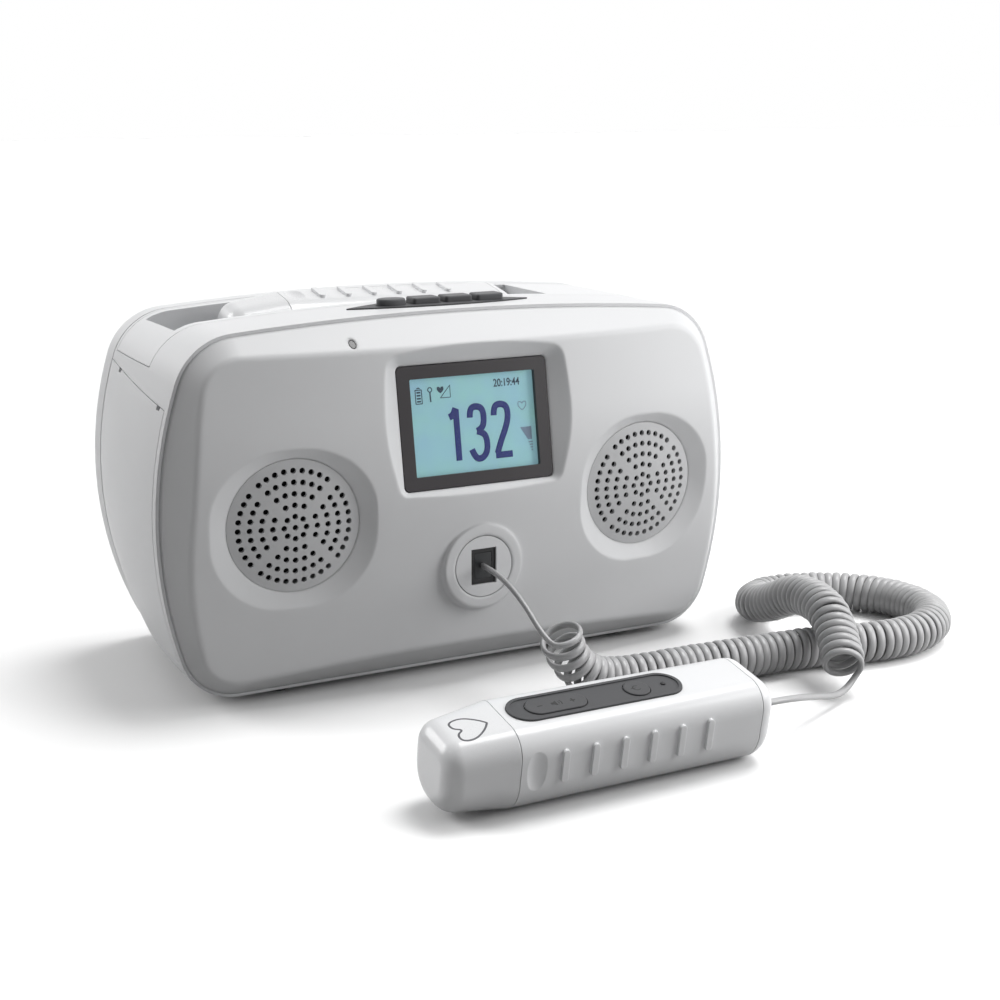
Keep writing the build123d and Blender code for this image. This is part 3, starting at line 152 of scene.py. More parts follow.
class CordSettings(bpy.types.PropertyGroup):
    strand: bpy.props.FloatProperty(
        name="Strand", description="Width of the straight strands",
        unit="LENGTH", default=3 * MM, min=1 * MM)
    band: bpy.props.FloatProperty(
        name="Band", description="Width of the strand in the curly part",
        unit="LENGTH", default=3.9 * MM, min=1 * MM)
    thickness: bpy.props.FloatProperty(
        name="Thickness", description="Thickness of the flat strand",
        unit="LENGTH", default=2.3 * MM, min=1 * MM)
    coil: bpy.props.FloatProperty(
        name="Coil", description="Outer diameter of the curly part",
        unit="LENGTH", default=19 * MM, min=6 * MM)
    pitch: bpy.props.FloatProperty(
        name="Pitch", description="Mean distance from turn to turn",
        unit="LENGTH", default=4.35 * MM, min=3.3 * MM)
    colour: bpy.props.FloatVectorProperty(
        name="Cord colour", description="Colour of the cord's jacket", subtype="COLOR", size=3,
        default=(0.4, 0.4, 0.405), min=0, max=1)


class StageSettings(bpy.types.PropertyGroup):
    sky: bpy.props.FloatProperty(
        name="Sky", description="Strength of the soft light all round", default=0.46, min=0)
    sun: bpy.props.FloatProperty(
        name="Sun", description="Strength of the main light", default=1.85, min=0)
    softbox: bpy.props.FloatProperty(
        name="Softbox", description="Power of the near lamp", unit="POWER", default=1.7, min=0)


# ---- finishes ----


class Value:
    """A number or colour on a socket; arithmetic on it adds Math nodes."""

    def __init__(self, finish, socket):
        self.finish = finish
        self.socket = socket

    def math(self, operation, first, second):
        return self.finish.node("ShaderNodeMath", {"operation": operation}, (first, second))

    def __add__(self, other):
        return self.math("ADD", self, other)

    def __radd__(self, other):
        return self.math("ADD", other, self)

    def __sub__(self, other):
        return self.math("SUBTRACT", self, other)

    def __rsub__(self, other):
        return self.math("SUBTRACT", other, self)

    def __mul__(self, other):
        return self.math("MULTIPLY", self, other)

    def __rmul__(self, other):
        return self.math("MULTIPLY", other, self)


class Shading:
    """A node tree to which nodes are added."""

    def __init__(self, tree):
        self.tree = tree

    def feed(self, socket, value):
        if isinstance(value, Value):
            self.tree.links.new(value.socket, socket)
        else:
            socket.default_value = value

    def node(self, kind, settings=None, inputs=(), output=0):
        """Adds a node: its settings first, then the values or links of its sockets."""
        made = self.tree.nodes.new(kind)
        for label, value in (settings or {}).items():
            setattr(made, label, value)
        pairs = inputs.items() if isinstance(inputs, dict) else enumerate(inputs)
        for key, value in pairs:
            self.feed(made.inputs[key], value)
        return Value(self, made.outputs[output])


class Finish(Shading):
    """One node-based material with a Principled shader."""

    def __init__(self, name, **fixed):
        self.material = bpy.data.materials.new(name)
        self.material.use_nodes = True
        super().__init__(self.material.node_tree)
        self.shader = self.tree.nodes["Principled BSDF"]
        for label, value in fixed.items():
            self.feed(self.shader.inputs[label.replace("_", " ")], value)
        self.place = self.node("ShaderNodeTexCoord", output="Object")

    def noise(self, size, detail=2.0, vector=None):
        """Cloudy pattern whose features are about size metres across."""
        inputs = {"Vector": vector or self.place, "Scale": 1 / size, "Detail": detail}
        return self.node("ShaderNodeTexNoise", {}, inputs)

    def mix(self, factor, first, second):
        inputs = {0: factor, 6: first, 7: second}
        return self.node("ShaderNodeMix", {"data_type": "RGBA"}, inputs, output=2)

    def set(self, label, value):
        self.feed(self.shader.inputs[label], value)

    def relief(self, height, depth, edge=0.0):
        """Bumps of a depth in metres, over edges that look rounded by edge metres."""
        inputs = {"Height": height, "Distance": depth, "Strength": 1.0}
        if edge:
            inputs["Normal"] = self.node("ShaderNodeBevel", {"samples": 6}, {"Radius": edge})
        self.set("Normal", self.node("ShaderNodeBump", {}, inputs))


def seen_rays(shading):
    """One for the camera's, reflected and refracted rays, which see the surroundings as they are."""
    kinds = ("Camera", "Glossy", "Transmission")
    first, second, third = (shading.node("ShaderNodeLightPath", output=f"Is {kind} Ray") for kind in kinds)
    return first.math("MAXIMUM", first.math("MAXIMUM", first, second), third)


def tinted(colour, factor):
    """A colour made lighter or darker, as three numbers."""
    return tuple(min(1.0, part * factor) for part in colour)


def shade(colour, factor):
    """A colour made lighter or darker, as four numbers."""
    return (*tinted(colour, factor), 1.0)


def moulded(name, colour, roughness, grain=0.35 * MM, depth=0.02 * MM, edge=0.5 * MM, coat=0.0, gloss=0.35):
    """Moulded plastic: a fine eroded grain, slow drift of colour and gloss, rounded edges."""
    finish = Finish(name, Coat_Weight=coat, Coat_Roughness=0.12, Specular_IOR_Level=gloss)
    slow = finish.noise(45 * MM, 3.0)
    fine = finish.noise(grain, 3.0)
    finish.set("Base Color", finish.mix(slow, shade(colour, 0.97), shade(colour, 1.03)))
    finish.set("Roughness", roughness + (slow - 0.5) * 0.1 + (fine - 0.5) * 0.12)
    finish.relief(fine, depth, edge)
    return finish.material


def rubbery(name, colour, roughness):
    """Soft-touch rubber: matt, with faint dusty patches."""
    finish = Finish(name, Sheen_Weight=0.08, Sheen_Roughness=0.5, Specular_IOR_Level=0.2)
    dust = finish.noise(6 * MM, 4.0)
    fine = finish.noise(0.25 * MM, 2.0)
    finish.set("Base Color", finish.mix(dust, shade(colour, 0.88), shade(colour, 1.14)))
    finish.set("Roughness", roughness + (fine - 0.5) * 0.2)
    finish.relief(fine, 0.03 * MM, 0.3 * MM)
    return finish.material


def jacket(name, colour):
    """Cord jacket: smooth, semi-gloss, with slow waves from the extruder."""
    finish = Finish(name, Coat_Weight=0.2, Coat_Roughness=0.25)
    slow = finish.noise(9 * MM, 2.0)
    fine = finish.noise(0.6 * MM, 3.0)
    finish.set("Base Color", finish.mix(slow, shade(colour, 0.9), shade(colour, 1.1)))
    finish.set("Roughness", 0.36 + (slow - 0.5) * 0.16)
    finish.relief(fine, 0.03 * MM)
    return finish.material


def glowing_layer(colour):
    """Liquid crystal layer: uneven pale teal with drifts to blue and green, and a faint painted glow in its
    own colour.
    """
    finish = Finish("display_layer", Specular_IOR_Level=0.3)
    cloud = finish.noise(14 * MM, 2.0)
    blot = finish.noise(5 * MM, 1.0)
    bluish = (colour[0] * 0.97, colour[1] * 0.88, colour[2] * 1.16, 1.0)
    greenish = (colour[0] * 1.06, colour[1] * 1.14, colour[2] * 0.93, 1.0)
    base = finish.mix(cloud, bluish, greenish)
    base = finish.mix(blot * 0.35, base, shade(colour, 1.16))
    finish.set("Base Color", base)
    # painted light: the layer glows faintly in its own colour, so that it looks brightly lit behind the
    # window
    finish.set("Emission Color", base)
    finish.set("Emission Strength", 0.42)
    finish.set("Roughness", 0.42 + (blot - 0.5) * 0.1)
    return finish.material


def printed(name, colour, roughness):
    """Ink: nearly flat, a little uneven at the scale of a screen's mesh."""
    finish = Finish(name)
    uneven = finish.noise(1.2 * MM, 2.0)
    finish.set("Base Color", finish.mix(uneven, shade(colour, 0.9), shade(colour, 1.12)))
    finish.set("Roughness", roughness + (uneven - 0.5) * 0.1)
    return finish.material


def clear(name, tint, least):
    """Clear plastic: a tinted see-through sheet with a polished surface."""
    finish = Finish(name, Base_Color=shade(tint, 1.0))
    smear = finish.noise(20 * MM, 3.0)
    finish.set("Roughness", 0.04 + smear * 0.06)
    through = finish.node("ShaderNodeBsdfTransparent", {}, {"Color": shade(tint, 1.0)})
    facing = finish.node("ShaderNodeFresnel", {}, {"IOR": 1.45})
    share = facing * 0.6 + least
    surface = Value(finish, finish.shader.outputs[0])
    mixed = finish.node("ShaderNodeMixShader", {}, (share, through, surface))
    output = finish.tree.nodes["Material Output"]
    finish.tree.links.new(mixed.socket, output.inputs["Surface"])
    return finish.material


def metal(name, colour, roughness):
    """Plated metal with faint brushing along X."""
    finish = Finish(name, Metallic=1.0)
    stretched = finish.node("ShaderNodeMapping", {}, {"Vector": finish.place, "Scale": (0.1, 1, 1)})
    grain = finish.noise(0.2 * MM, 2.0, stretched)
    finish.set("Base Color", finish.mix(grain, shade(colour, 0.9), shade(colour, 1.05)))
    finish.set("Roughness", roughness + (grain - 0.5) * 0.15)
    finish.relief(grain, 0.01 * MM)
    return finish.material


def circuit(name, colour):
    """Solder resist over copper tracks."""
    finish = Finish(name, Coat_Weight=0.3)
    bricks = {"Vector": finish.place, "Scale": 400.0, "Mortar Size": 0.06}
    tracks = finish.node("ShaderNodeTexBrick", {}, bricks)
    finish.set("Base Color", finish.mix(tracks * 0.5, shade(colour, 0.7), shade(colour, 1.5)))
    uneven = finish.noise(2 * MM)
    finish.set("Roughness", 0.3 + uneven * 0.15)
    finish.relief(uneven, 0.02 * MM)
    return finish.material


def dress(material, *names):
    """Gives CAD nodes a finish; their meshes stay as they are."""
    for name in names:
        mesh = NODES[name].data
        mesh.materials.clear()
        mesh.materials.append(material)


# ---- modelling helpers ----


def place_piece(name, mesh, material, body):
    """Links a finished mesh as a piece that rides on a body."""
    mesh.materials.clear()
    mesh.materials.append(material)
    piece = bpy.data.objects.new(name, mesh)
    bpy.context.scene.collection.objects.link(piece)
    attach(piece, body)
    return piece


def spline_curve(name, points, bevel=0.0, caps=False, closed=False, resolution=8):
    """NURBS curve through the neighbourhood of its points, as a round tube if it has a bevel."""
    curve = bpy.data.curves.new(name, "CURVE")
    curve.dimensions = "3D"
    spline = curve.splines.new("NURBS")
    spline.points.add(len(points) - 1)
    for control, point in zip(spline.points, points):
        control.co = (*point, 1.0)
    spline.order_u = 3
    spline.use_endpoint_u = not closed
    spline.use_cyclic_u = closed
    curve.resolution_u = resolution
    curve.bevel_depth = bevel
    curve.bevel_resolution = 3
    curve.use_fill_caps = caps
    return curve


def curve_mesh(name, curve):
    """The mesh of a curve, after which the curve is removed."""
    holder = bpy.data.objects.new(name, curve)
    mesh = bpy.data.meshes.new_from_object(holder)
    bpy.data.objects.remove(holder)
    bpy.data.curves.remove(curve)
    mesh.name = name
    return mesh


def line_print(place, height, points, width, closed=False):
    """A printed line: a tube pressed nearly flat against a plane, points in that plane's millimetres."""
    flat = [(x * MM, y * MM, 0.0) for x, y in points]
    mesh = curve_mesh("line", spline_curve("line", flat, width * MM / 2, not closed, closed, 6))
    squeeze = Matrix.Diagonal((1, 1, PRINT_THICK / width, 1))
    mesh.transform(place @ Matrix.Translation((0, 0, height * MM)) @ squeeze)
    return mesh


def sort_faces(shape):
    """Puts faces in the order of their corners, because extruding leaves them in a changing order."""
    shape.verts.index_update()
    faces = sorted(shape.faces, key=lambda face: sorted(corner.index for corner in face.verts))
    for index, face in enumerate(faces):
        face.index = index
    shape.faces.sort()


def patch_print(place, height, points):
    """A filled printed shape with straight edges."""
    shape = bmesh.new()
    corners = [shape.verts.new((x * MM, y * MM, height * MM)) for x, y in points]
    face = shape.faces.new(corners)
    solid = bmesh.ops.extrude_face_region(shape, geom=[face])
    rise = [part for part in solid["geom"] if isinstance(part, bmesh.types.BMVert)]
    bmesh.ops.translate(shape, vec=(0, 0, PRINT_THICK * MM), verts=rise)
    bmesh.ops.recalc_face_normals(shape, faces=shape.faces)
    sort_faces(shape)
    mesh = bpy.data.meshes.new("patch")
    shape.to_mesh(mesh)
    shape.free()
    mesh.transform(place)
    return mesh


def gathered(name, meshes):
    """One mesh from several."""
    whole = bmesh.new()
    for mesh in meshes:
        whole.from_mesh(mesh)
        bpy.data.meshes.remove(mesh)
    mesh = bpy.data.meshes.new(name)
    whole.to_mesh(mesh)
    whole.free()
    return mesh


def draped(mesh, place, node):
    """Lays a print made in a place's plane on the surface of a node below it."""
    surface = bmesh.new()
    surface.from_mesh(node.data)
    surface.transform(node.matrix_world)
    tree = BVHTree.FromBMesh(surface)
    surface.free()
    down = place.to_3x3() @ Vector((0, 0, -1))
    for vertex in mesh.vertices:
        start = place @ Vector((vertex.co.x, vertex.co.y, SURVEY_HEIGHT * MM))
        vertex.co = tree.ray_cast(start, down)[0] - down * vertex.co.z
    return mesh


def cornered(points):
    """Control points of a closed line with sharp corners."""
    return [point for point in (*points, points[0]) for _ in range(2)]


def screen_place():
    """Plane of the bezel's front, its origin at the lit area's lower left corner."""
    lean = math.radians(SCREEN_LEAN)
    across = Vector((1, 0, 0))
    out = Vector((0, -math.cos(lean), math.sin(lean)))
    up = out.cross(across)
    origin = Vector((0, SCREEN_Y, SCREEN_Z)) * MM - (across * VIEW_W + up * VIEW_H) * MM / 2
    place = Matrix((across, up, out)).transposed().to_4x4()
    place.translation = origin
    return place


def probe_place(prefix):
    """A probe's own frame: x along it from its tip, z out of its keys, from its rocker's joint."""
    joint = JOINTS[f"{prefix}_rocker_tilt"]
    along = Vector((1, 0, 0))
    sideways = Vector(joint["axis"])
    out = along.cross(sideways)
    place = Matrix((along, sideways, out)).transposed().to_4x4()
    place.translation = Vector(joint["pos_m"]) - along * ROCKER_MIDDLE * MM - out * ROCKER_HINGE * MM
    return place


def heart(middle, size):
    """Control points of a heart that points along +x."""
    shape = ((-0.42, 0.0), (-0.95, 0.32), (-0.95, 1.0), (-0.1, 1.12), (0.62, 0.55), (1.0, 0.04), (1.0, -0.04))
    lower = [(x, -y) for x, y in reversed(shape[1:5])]
    return [(middle[0] + x * size, middle[1] + y * size) for x, y in (*shape, *lower)]


# ---- operators ----


class DOPPLER_OT_stage(bpy.types.Operator):
    """Sets up the camera, the light and the plain floor"""
    bl_idname = "doppler.stage"
    bl_label = "Stage"

    def execute(self, context):
        settings = context.scene.doppler_stage
        self.camera(context)
        self.floor(context)
        self.sky(context, settings.sky)
        self.lamp(context, "sun", settings.sun, SUN_TILT, SUN_TURN, SUN_SPREAD)
        self.lamp(context, "rim", settings.sun * RIM_SHARE, RIM_TILT, RIM_TURN, RIM_SPREAD)
        self.softbox(context, settings.softbox)
        context.scene.view_settings.view_transform = "Standard"
        return {"FINISHED"}

    def camera(self, context):
        lens = bpy.data.cameras.new("camera")
        lens.lens = LENS
        lens.sensor_width = SENSOR
        view = bpy.data.objects.new("camera", lens)
        view.location = CAMERA_AT
        view.rotation_euler = (math.radians(90 - CAMERA_DOWN), 0, math.radians(CAMERA_TURN))
        context.scene.collection.objects.link(view)
        context.scene.camera = view

    def floor(self, context):
        sheet = bmesh.new()
        bmesh.ops.create_grid(sheet, x_segments=1, y_segments=1, size=FLOOR_HALF)
        mesh = bpy.data.meshes.new("floor")
        sheet.to_mesh(mesh)
        sheet.free()
        finish = Finish("floor_white", Roughness=0.7, Specular_IOR_Level=0.2)
        cloud = finish.noise(0.3, 2.0)
        seen = finish.mix(cloud, (0.99, 0.99, 0.99, 1), (1, 1, 1, 1))
        bounce = (FLOOR_BOUNCE, FLOOR_BOUNCE, FLOOR_BOUNCE, 1)
        finish.set("Base Color", finish.mix(seen_rays(finish), bounce, seen))
        mesh.materials.append(finish.material)
        floor = bpy.data.objects.new("floor", mesh)
        context.scene.collection.objects.link(floor)

    def sky(self, context, strength):
        world = bpy.data.worlds.new("studio")
        context.scene.world = world
        world.use_nodes = True
        sky = Shading(world.node_tree)
        white = (1, 1, 1, 1)
        direction = sky.node("ShaderNodeTexCoord", output="Generated")
        product = {"operation": "DOT_PRODUCT"}
        facing = sky.node("ShaderNodeVectorMath", product, (direction, SKY_BRIGHTEST), "Value")
        bright = facing.math("MAXIMUM", facing * SKY_FALL + SKY_MEAN, SKY_LEAST)
        soft = sky.node("ShaderNodeBackground", {}, (white, bright * strength))
        seen = sky.node("ShaderNodeBackground", {}, (white, 1.0))
        mixed = sky.node("ShaderNodeMixShader", {}, (seen_rays(sky), soft, seen))
        sky.tree.links.new(mixed.socket, sky.tree.nodes["World Output"].inputs["Surface"])

    def lamp(self, context, name, strength, tilt, turn, spread):
        light = bpy.data.lights.new(name, "SUN")
        light.energy = strength
        light.angle = math.radians(spread)
        lamp = bpy.data.objects.new(name, light)
        lamp.rotation_euler = (math.radians(tilt), 0, math.radians(turn))
        context.scene.collection.objects.link(lamp)

    def softbox(self, context, power):
        """A square lamp near the right front, so that the light falls off towards the left."""
        light = bpy.data.lights.new("softbox", "AREA")
        light.energy = power
        light.size = SOFTBOX_SIZE
        lamp = bpy.data.objects.new("softbox", light)
        spot = Vector(SOFTBOX_AT)
        turn = (Vector(SOFTBOX_AIM) - spot).to_track_quat("-Z", "Y")
        lamp.matrix_world = Matrix.Translation(spot) @ turn.to_matrix().to_4x4()
        context.scene.collection.objects.link(lamp)


class DOPPLER_OT_cord(bpy.types.Operator):
    """Winds the curly cord from the socket to the wired probe"""
    bl_idname = "doppler.cord"
    bl_label = "Curly Cord"

    def execute(self, context):
        settings = context.scene.doppler_cord
        routes = (LEAD_ROUTE, COIL_ROUTE, TAIL_ROUTE)
        lead, coil, tail = ([Vector(point) * MM for point in route] for route in routes)
        gland = probe_place("wired") @ Vector((GLAND_END * MM, 0, 0))
        tail += [gland + Vector((TAIL_RUN * MM, 0, 0)), gland]
        turns, axes = self.turns(settings, self.samples(coil, 24), Vector(START_SIDE), Vector(END_SIDE))
        points = lead + turns + tail
        axes = [axes[0]] * len(lead) + axes + [axes[-1]] * len(tail)
        straight = [settings.strand / 2]
        halves = straight * len(lead) + self.halves(settings, len(turns)) + straight * len(tail)
        path = self.samples(points, 3)
        guide = self.samples([point + axis * half for point, axis, half in zip(points, axes, halves)], 3)
        tube = self.tube(path, guide, settings.thickness / 2)
        piece = place_piece("cord", tube, jacket("cord_jacket", settings.colour), "monitor")
        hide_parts("cord_lead", "cord_coil", "cord_tail")
        return {"FINISHED"}

    def halves(self, settings, count):
        """Half widths along the coil: the strand widens over its first turn and narrows over its last."""
        ends = (min(1.0, step / TURN_POINTS, (count - 1 - step) / TURN_POINTS) for step in range(count))
        return [(settings.strand + (settings.band - settings.strand) * share) / 2 for share in ends]

    def samples(self, points, resolution):
        """Points along the NURBS spline of some control points."""
        line = curve_mesh("line", spline_curve("line", points, resolution=resolution))
        found = [vertex.co.copy() for vertex in line.vertices]
        bpy.data.meshes.remove(line)
        return found

    def tube(self, path, guide, half):
        """A flat tube along a path, as wide to each side as its guide is away."""
        shape = bmesh.new()
        rings = []
        for index, (point, beside) in enumerate(zip(path, guide)):
            ahead = (path[min(index + 1, len(path) - 1)] - path[max(index - 1, 0)]).normalized()
            wide = beside - point
            reach = wide.length
            wide = (wide - ahead * wide.dot(ahead)).normalized() * reach
            thick = ahead.cross(wide).normalized() * half
            corners = (2 * math.pi * step / STRAND_SIDES for step in range(STRAND_SIDES))
            rings.append([shape.verts.new(point + wide * math.cos(a) + thick * math.sin(a)) for a in corners])
        for before, after in zip(rings, rings[1:]):
            for side in range(STRAND_SIDES):
                other = (side + 1) % STRAND_SIDES
                shape.faces.new((before[side], before[other], after[other], after[side]))
        shape.faces.new(rings[0])
        shape.faces.new(rings[-1])
        bmesh.ops.recalc_face_normals(shape, faces=shape.faces)
        for face in shape.faces:
            face.smooth = len(face.verts) == 4
        mesh = bpy.data.meshes.new("cord")
        shape.to_mesh(mesh)
        shape.free()
        return mesh

    def turns(self, settings, centres, start, end):
        """Points of the helix round the coil's middle line, with the line's direction beside each."""
        reach = [0.0]
        for before, after in zip(centres, centres[1:]):
            reach.append(reach[-1] + (after - before).length)
        along = (centres[1] - centres[0]).normalized()
        side = (start - along * start.dot(along)).normalized()
        frames = []
        for index, centre in enumerate(centres):
            ahead = centres[min(index + 1, len(centres) - 1)] - centres[max(index - 1, 0)]
            ahead.normalize()
            side = (side - ahead * side.dot(ahead)).normalized()
            frames.append((centre, side.copy(), ahead.cross(side)))
        last = frames[-1]
        final = math.atan2(-end.dot(last[2]), end.dot(last[1])) / (2 * math.pi)
        count = round(reach[-1] / settings.pitch - final) + final
        steps = [self.pitch_share(turn / TURN_POINTS, count) for turn in range(int(count * TURN_POINTS) + 1)]
        scale = reach[-1] / sum(steps)
        wide = (settings.coil - settings.thickness) / 2 * (1 + CORD_SPREAD) - COIL_INSET * MM
        points = []
        axes = []
        travelled = 0.0
        here = 0
        for number, step in enumerate(steps):
            turn = number * count / (len(steps) - 1)
            while here < len(reach) - 2 and reach[here + 1] < travelled:
                here += 1
            share = min(1.0, (travelled - reach[here]) / (reach[here + 1] - reach[here]))
            centre, first, second = (a.lerp(b, share) for a, b in zip(frames[here], frames[here + 1]))
            first_share, last_share = (max(0.0, 1 - JOINING * reached) for reached in (turn, count - turn))
            radius = wide + (START_R * MM - wide) * first_share + (END_R * MM - wide) * last_share
            radius *= 1 + COIL_WAVE * math.sin(COIL_WAVE_TURN * turn)
            angle = -2 * math.pi * turn
            points.append(centre + (first * math.cos(angle) + second * math.sin(angle)) * radius)
            axes.append(first.cross(second).normalized())
            travelled += step * scale
        return points, axes

    def pitch_share(self, turn, count):
        """Turns stand apart where the coil starts and ends and lie closer, a little unevenly, between."""
        at_start = 0.75 * math.exp(-turn / 2.5)
        at_end = 0.25 * math.exp(-(count - turn) / 2)
        return 1 + at_start + at_end + 0.09 * math.sin(0.7 * turn)


class DOPPLER_OT_shells(bpy.types.Operator):
    """Finishes the casing, its covers and the grilles"""
    bl_idname = "doppler.shells"
    bl_label = "Casing"

    def execute(self, context):
        settings = context.scene.doppler_monitor
        colour = settings.shell_colour
        casing = moulded("casing_plastic", colour, 0.42, edge=0.6 * MM)
        front = moulded("front_plastic", colour, 0.42, edge=settings.softness)
        covers = moulded("cover_plastic", colour, 0.44)
        dress(casing, "main_housing", "rear_cover", "battery_door")
        dress(front, "front_shell")
        dress(covers, "left_side_cover", "right_side_cover")
        grille = moulded("grille_plastic", tinted(colour, 0.82), 0.6, 0.25 * MM, 0.04 * MM, 0.2 * MM)
        dress(moulded("cradle_plastic", tinted(colour, 1.04), 0.38, coat=0.1), "probe_cradle")
        dress(grille, "speaker_grille_left", "speaker_grille_right")
        return {"FINISHED"}


class DOPPLER_OT_keys(bpy.types.Operator):
    """Finishes the key panel and the keys on top"""
    bl_idname = "doppler.keys"
    bl_label = "Top Keys"

    def execute(self, context):
        colour = context.scene.doppler_monitor.key_colour
        dress(moulded("key_panel_plastic", colour, 0.5, edge=0.3 * MM, gloss=0.2), "key_panel")
        dress(rubbery("key_rubber", tinted(colour, 1.3), 0.55), "key_1", "key_2", "key_3", "key_4")
        return {"FINISHED"}


class DOPPLER_OT_display(bpy.types.Operator):
    """Lays the lit layer with its numbers and signs behind the window"""
    bl_idname = "doppler.display"
    bl_label = "Display"

    def execute(self, context):
        settings = context.scene.doppler_display
        place = screen_place()
        bezel = moulded("bezel_plastic", (0.036, 0.032, 0.035), 0.32, depth=0.004 * MM, edge=0.3 * MM)
        dress(bezel, "screen_bezel")
        dress(clear("window_clear", (0.97, 0.99, 0.99), 0.005), "screen_window")
        dress(moulded("module_plastic", (0.05, 0.05, 0.052), 0.5), "screen_module")
        right, top = VIEW_W + 1, VIEW_H + 1
        layer = patch_print(place, -VIEW_DEPTH, ((-1, -1), (right, -1), (right, top), (-1, top)))
        place_piece("display_layer", layer, glowing_layer(settings.back_colour), "monitor")
        ink = printed("ink_navy", settings.ink_colour, 0.45)
        numbers = [line_print(place, INK_AT, points, DIGIT_STROKE) for points in DIGITS]
        place_piece("display_numbers", gathered("display_numbers", numbers), ink, "monitor")
        dark = printed("ink_dark", (0.03, 0.06, 0.1), 0.5)
        signs = gathered("display_signs", self.signs(place))
        place_piece("display_signs", signs, dark, "monitor")
        faint = printed("ink_faint", (0.33, 0.41, 0.54), 0.5)
        level = gathered("display_level", self.level(place))
        place_piece("display_level", level, faint, "monitor")
        return {"FINISHED"}

    def signs(self, place):
        """Battery, probe, heart with its signal triangle, and the clock."""
        outline = ((3.6, 31.6), (6.6, 31.6), (6.6, 37.6), (3.6, 37.6))
        meshes = [line_print(place, INK_AT, cornered(outline), 0.4)]
        meshes.append(line_print(place, INK_AT, ((4.4, 38.1), (5.1, 38.8), (5.8, 38.1)), 0.5))
        for height in (32.6, 33.9, 35.2, 36.5):
            bar = ((4.2, height - 0.35), (6.0, height - 0.35), (6.0, height + 0.35), (4.2, height + 0.35))
            meshes.append(patch_print(place, INK_AT, bar))
        angles = (0, 1.05, 2.09, 3.14, 4.19, 5.24)
        ring = [(10.6 + 1.1 * math.cos(angle), 37.3 + 1.1 * math.sin(angle)) for angle in angles]
        meshes.append(line_print(place, INK_AT, ring, 0.45, True))
        meshes.append(line_print(place, INK_AT, ((10.6, 36.2), (10.6, 34.0), (10.7, 32.0)), 0.7))
        turned = [(15.6 + y, 36.9 - x) for x, y in heart((0, 0), 1.45)]
        meshes.append(patch_print(place, INK_AT, turned))
        meshes.append(line_print(place, INK_AT, cornered(((15.4, 33.4), (20.3, 33.4), (20.3, 38.6))), 0.32))
        text = bpy.data.curves.new("clock", "FONT")
        text.body = CLOCK
        text.size = CLOCK_SIZE * MM
        text.offset = CLOCK_BOLD * MM
        text.extrude = CLOCK_THICK * MM
        mesh = curve_mesh("clock", text)
        corner = Matrix.Translation(Vector((*CLOCK_PLACE, CLOCK_AT)) * MM)
        mesh.transform(place @ corner @ Matrix.Diagonal((*CLOCK_STRETCH, 1, 1)))
        return [*meshes, mesh]

    def level(self, place):
        """Heart outline and level wedge at the right edge."""
        turned = [(55.2 + y, 26.8 - x) for x, y in heart((0, 0), 1.9)]
        meshes = [line_print(place, INK_AT, turned, 0.4, True)]
        meshes.append(patch_print(place, INK_AT, ((53.4, 17.2), (59.0, 17.2), (59.0, 11.4), (57.0, 11.4))))
        for top, left in ((10.6, 57.2), (9.4, 57.6), (8.2, 58.0), (7.0, 58.4)):
            bar = ((left, top), (59.2, top), (59.2, top - 0.6), (left, top - 0.6))
            meshes.append(patch_print(place, INK_AT, bar))
        return meshes


class DOPPLER_OT_socket(bpy.types.Operator):
    """Finishes the probe socket, the plug and the small fittings"""
    bl_idname = "doppler.socket"
    bl_label = "Socket and Fittings"

    def execute(self, context):
        colour = context.scene.doppler_monitor.shell_colour
        jacketed = jacket("gland_jacket", context.scene.doppler_cord.colour)
        dress(moulded("socket_plate_plastic", tinted(colour, 1.05), 0.35, edge=0.3 * MM), "socket_plate")
        dress(moulded("socket_plastic", (0.02, 0.02, 0.021), 0.45), "probe_socket", "power_inlet")
        dress(moulded("plug_plastic", (0.03, 0.032, 0.034), 0.2, depth=0.004 * MM, coat=0.15), "cord_plug")
        dress(jacketed, "cord_gland", "cord_lead", "cord_coil", "cord_tail")
        dress(moulded("lamp_plastic", (0.02, 0.02, 0.022), 0.25), "indicator", "wired_lamp", "docked_lamp")
        dress(rubbery("foot_rubber", (0.03, 0.03, 0.03), 0.7), "feet")
        return {"FINISHED"}


class DOPPLER_OT_inside(bpy.types.Operator):
    """Finishes what lies inside: boards, speakers, battery, screws and crystals"""
    bl_idname = "doppler.inside"
    bl_label = "Inside"

    def execute(self, context):
        dress(circuit("board_resist", (0.02, 0.12, 0.05)), "main_board", "key_board", "wired_probe_board",
              "docked_probe_board")
        dress(moulded("chip_plastic", (0.03, 0.03, 0.032), 0.55), "board_parts", "key_switches")
        dress(metal("screw_plating", (0.6, 0.6, 0.6), 0.3), "board_screws", "case_screws")
        frames = metal("speaker_frame_metal", (0.08, 0.08, 0.085), 0.45)
        dress(frames, "speaker_frame_left", "speaker_frame_right")
        dress(rubbery("cone_paper", (0.02, 0.02, 0.021), 0.85), "speaker_cone_left", "speaker_cone_right")
        dress(moulded("battery_wrap", (0.04, 0.07, 0.2), 0.3, coat=0.4), "battery_pack")
        dress(moulded("crystal_ceramic", (0.5, 0.48, 0.42), 0.7), "wired_crystals", "docked_crystals")
        return {"FINISHED"}


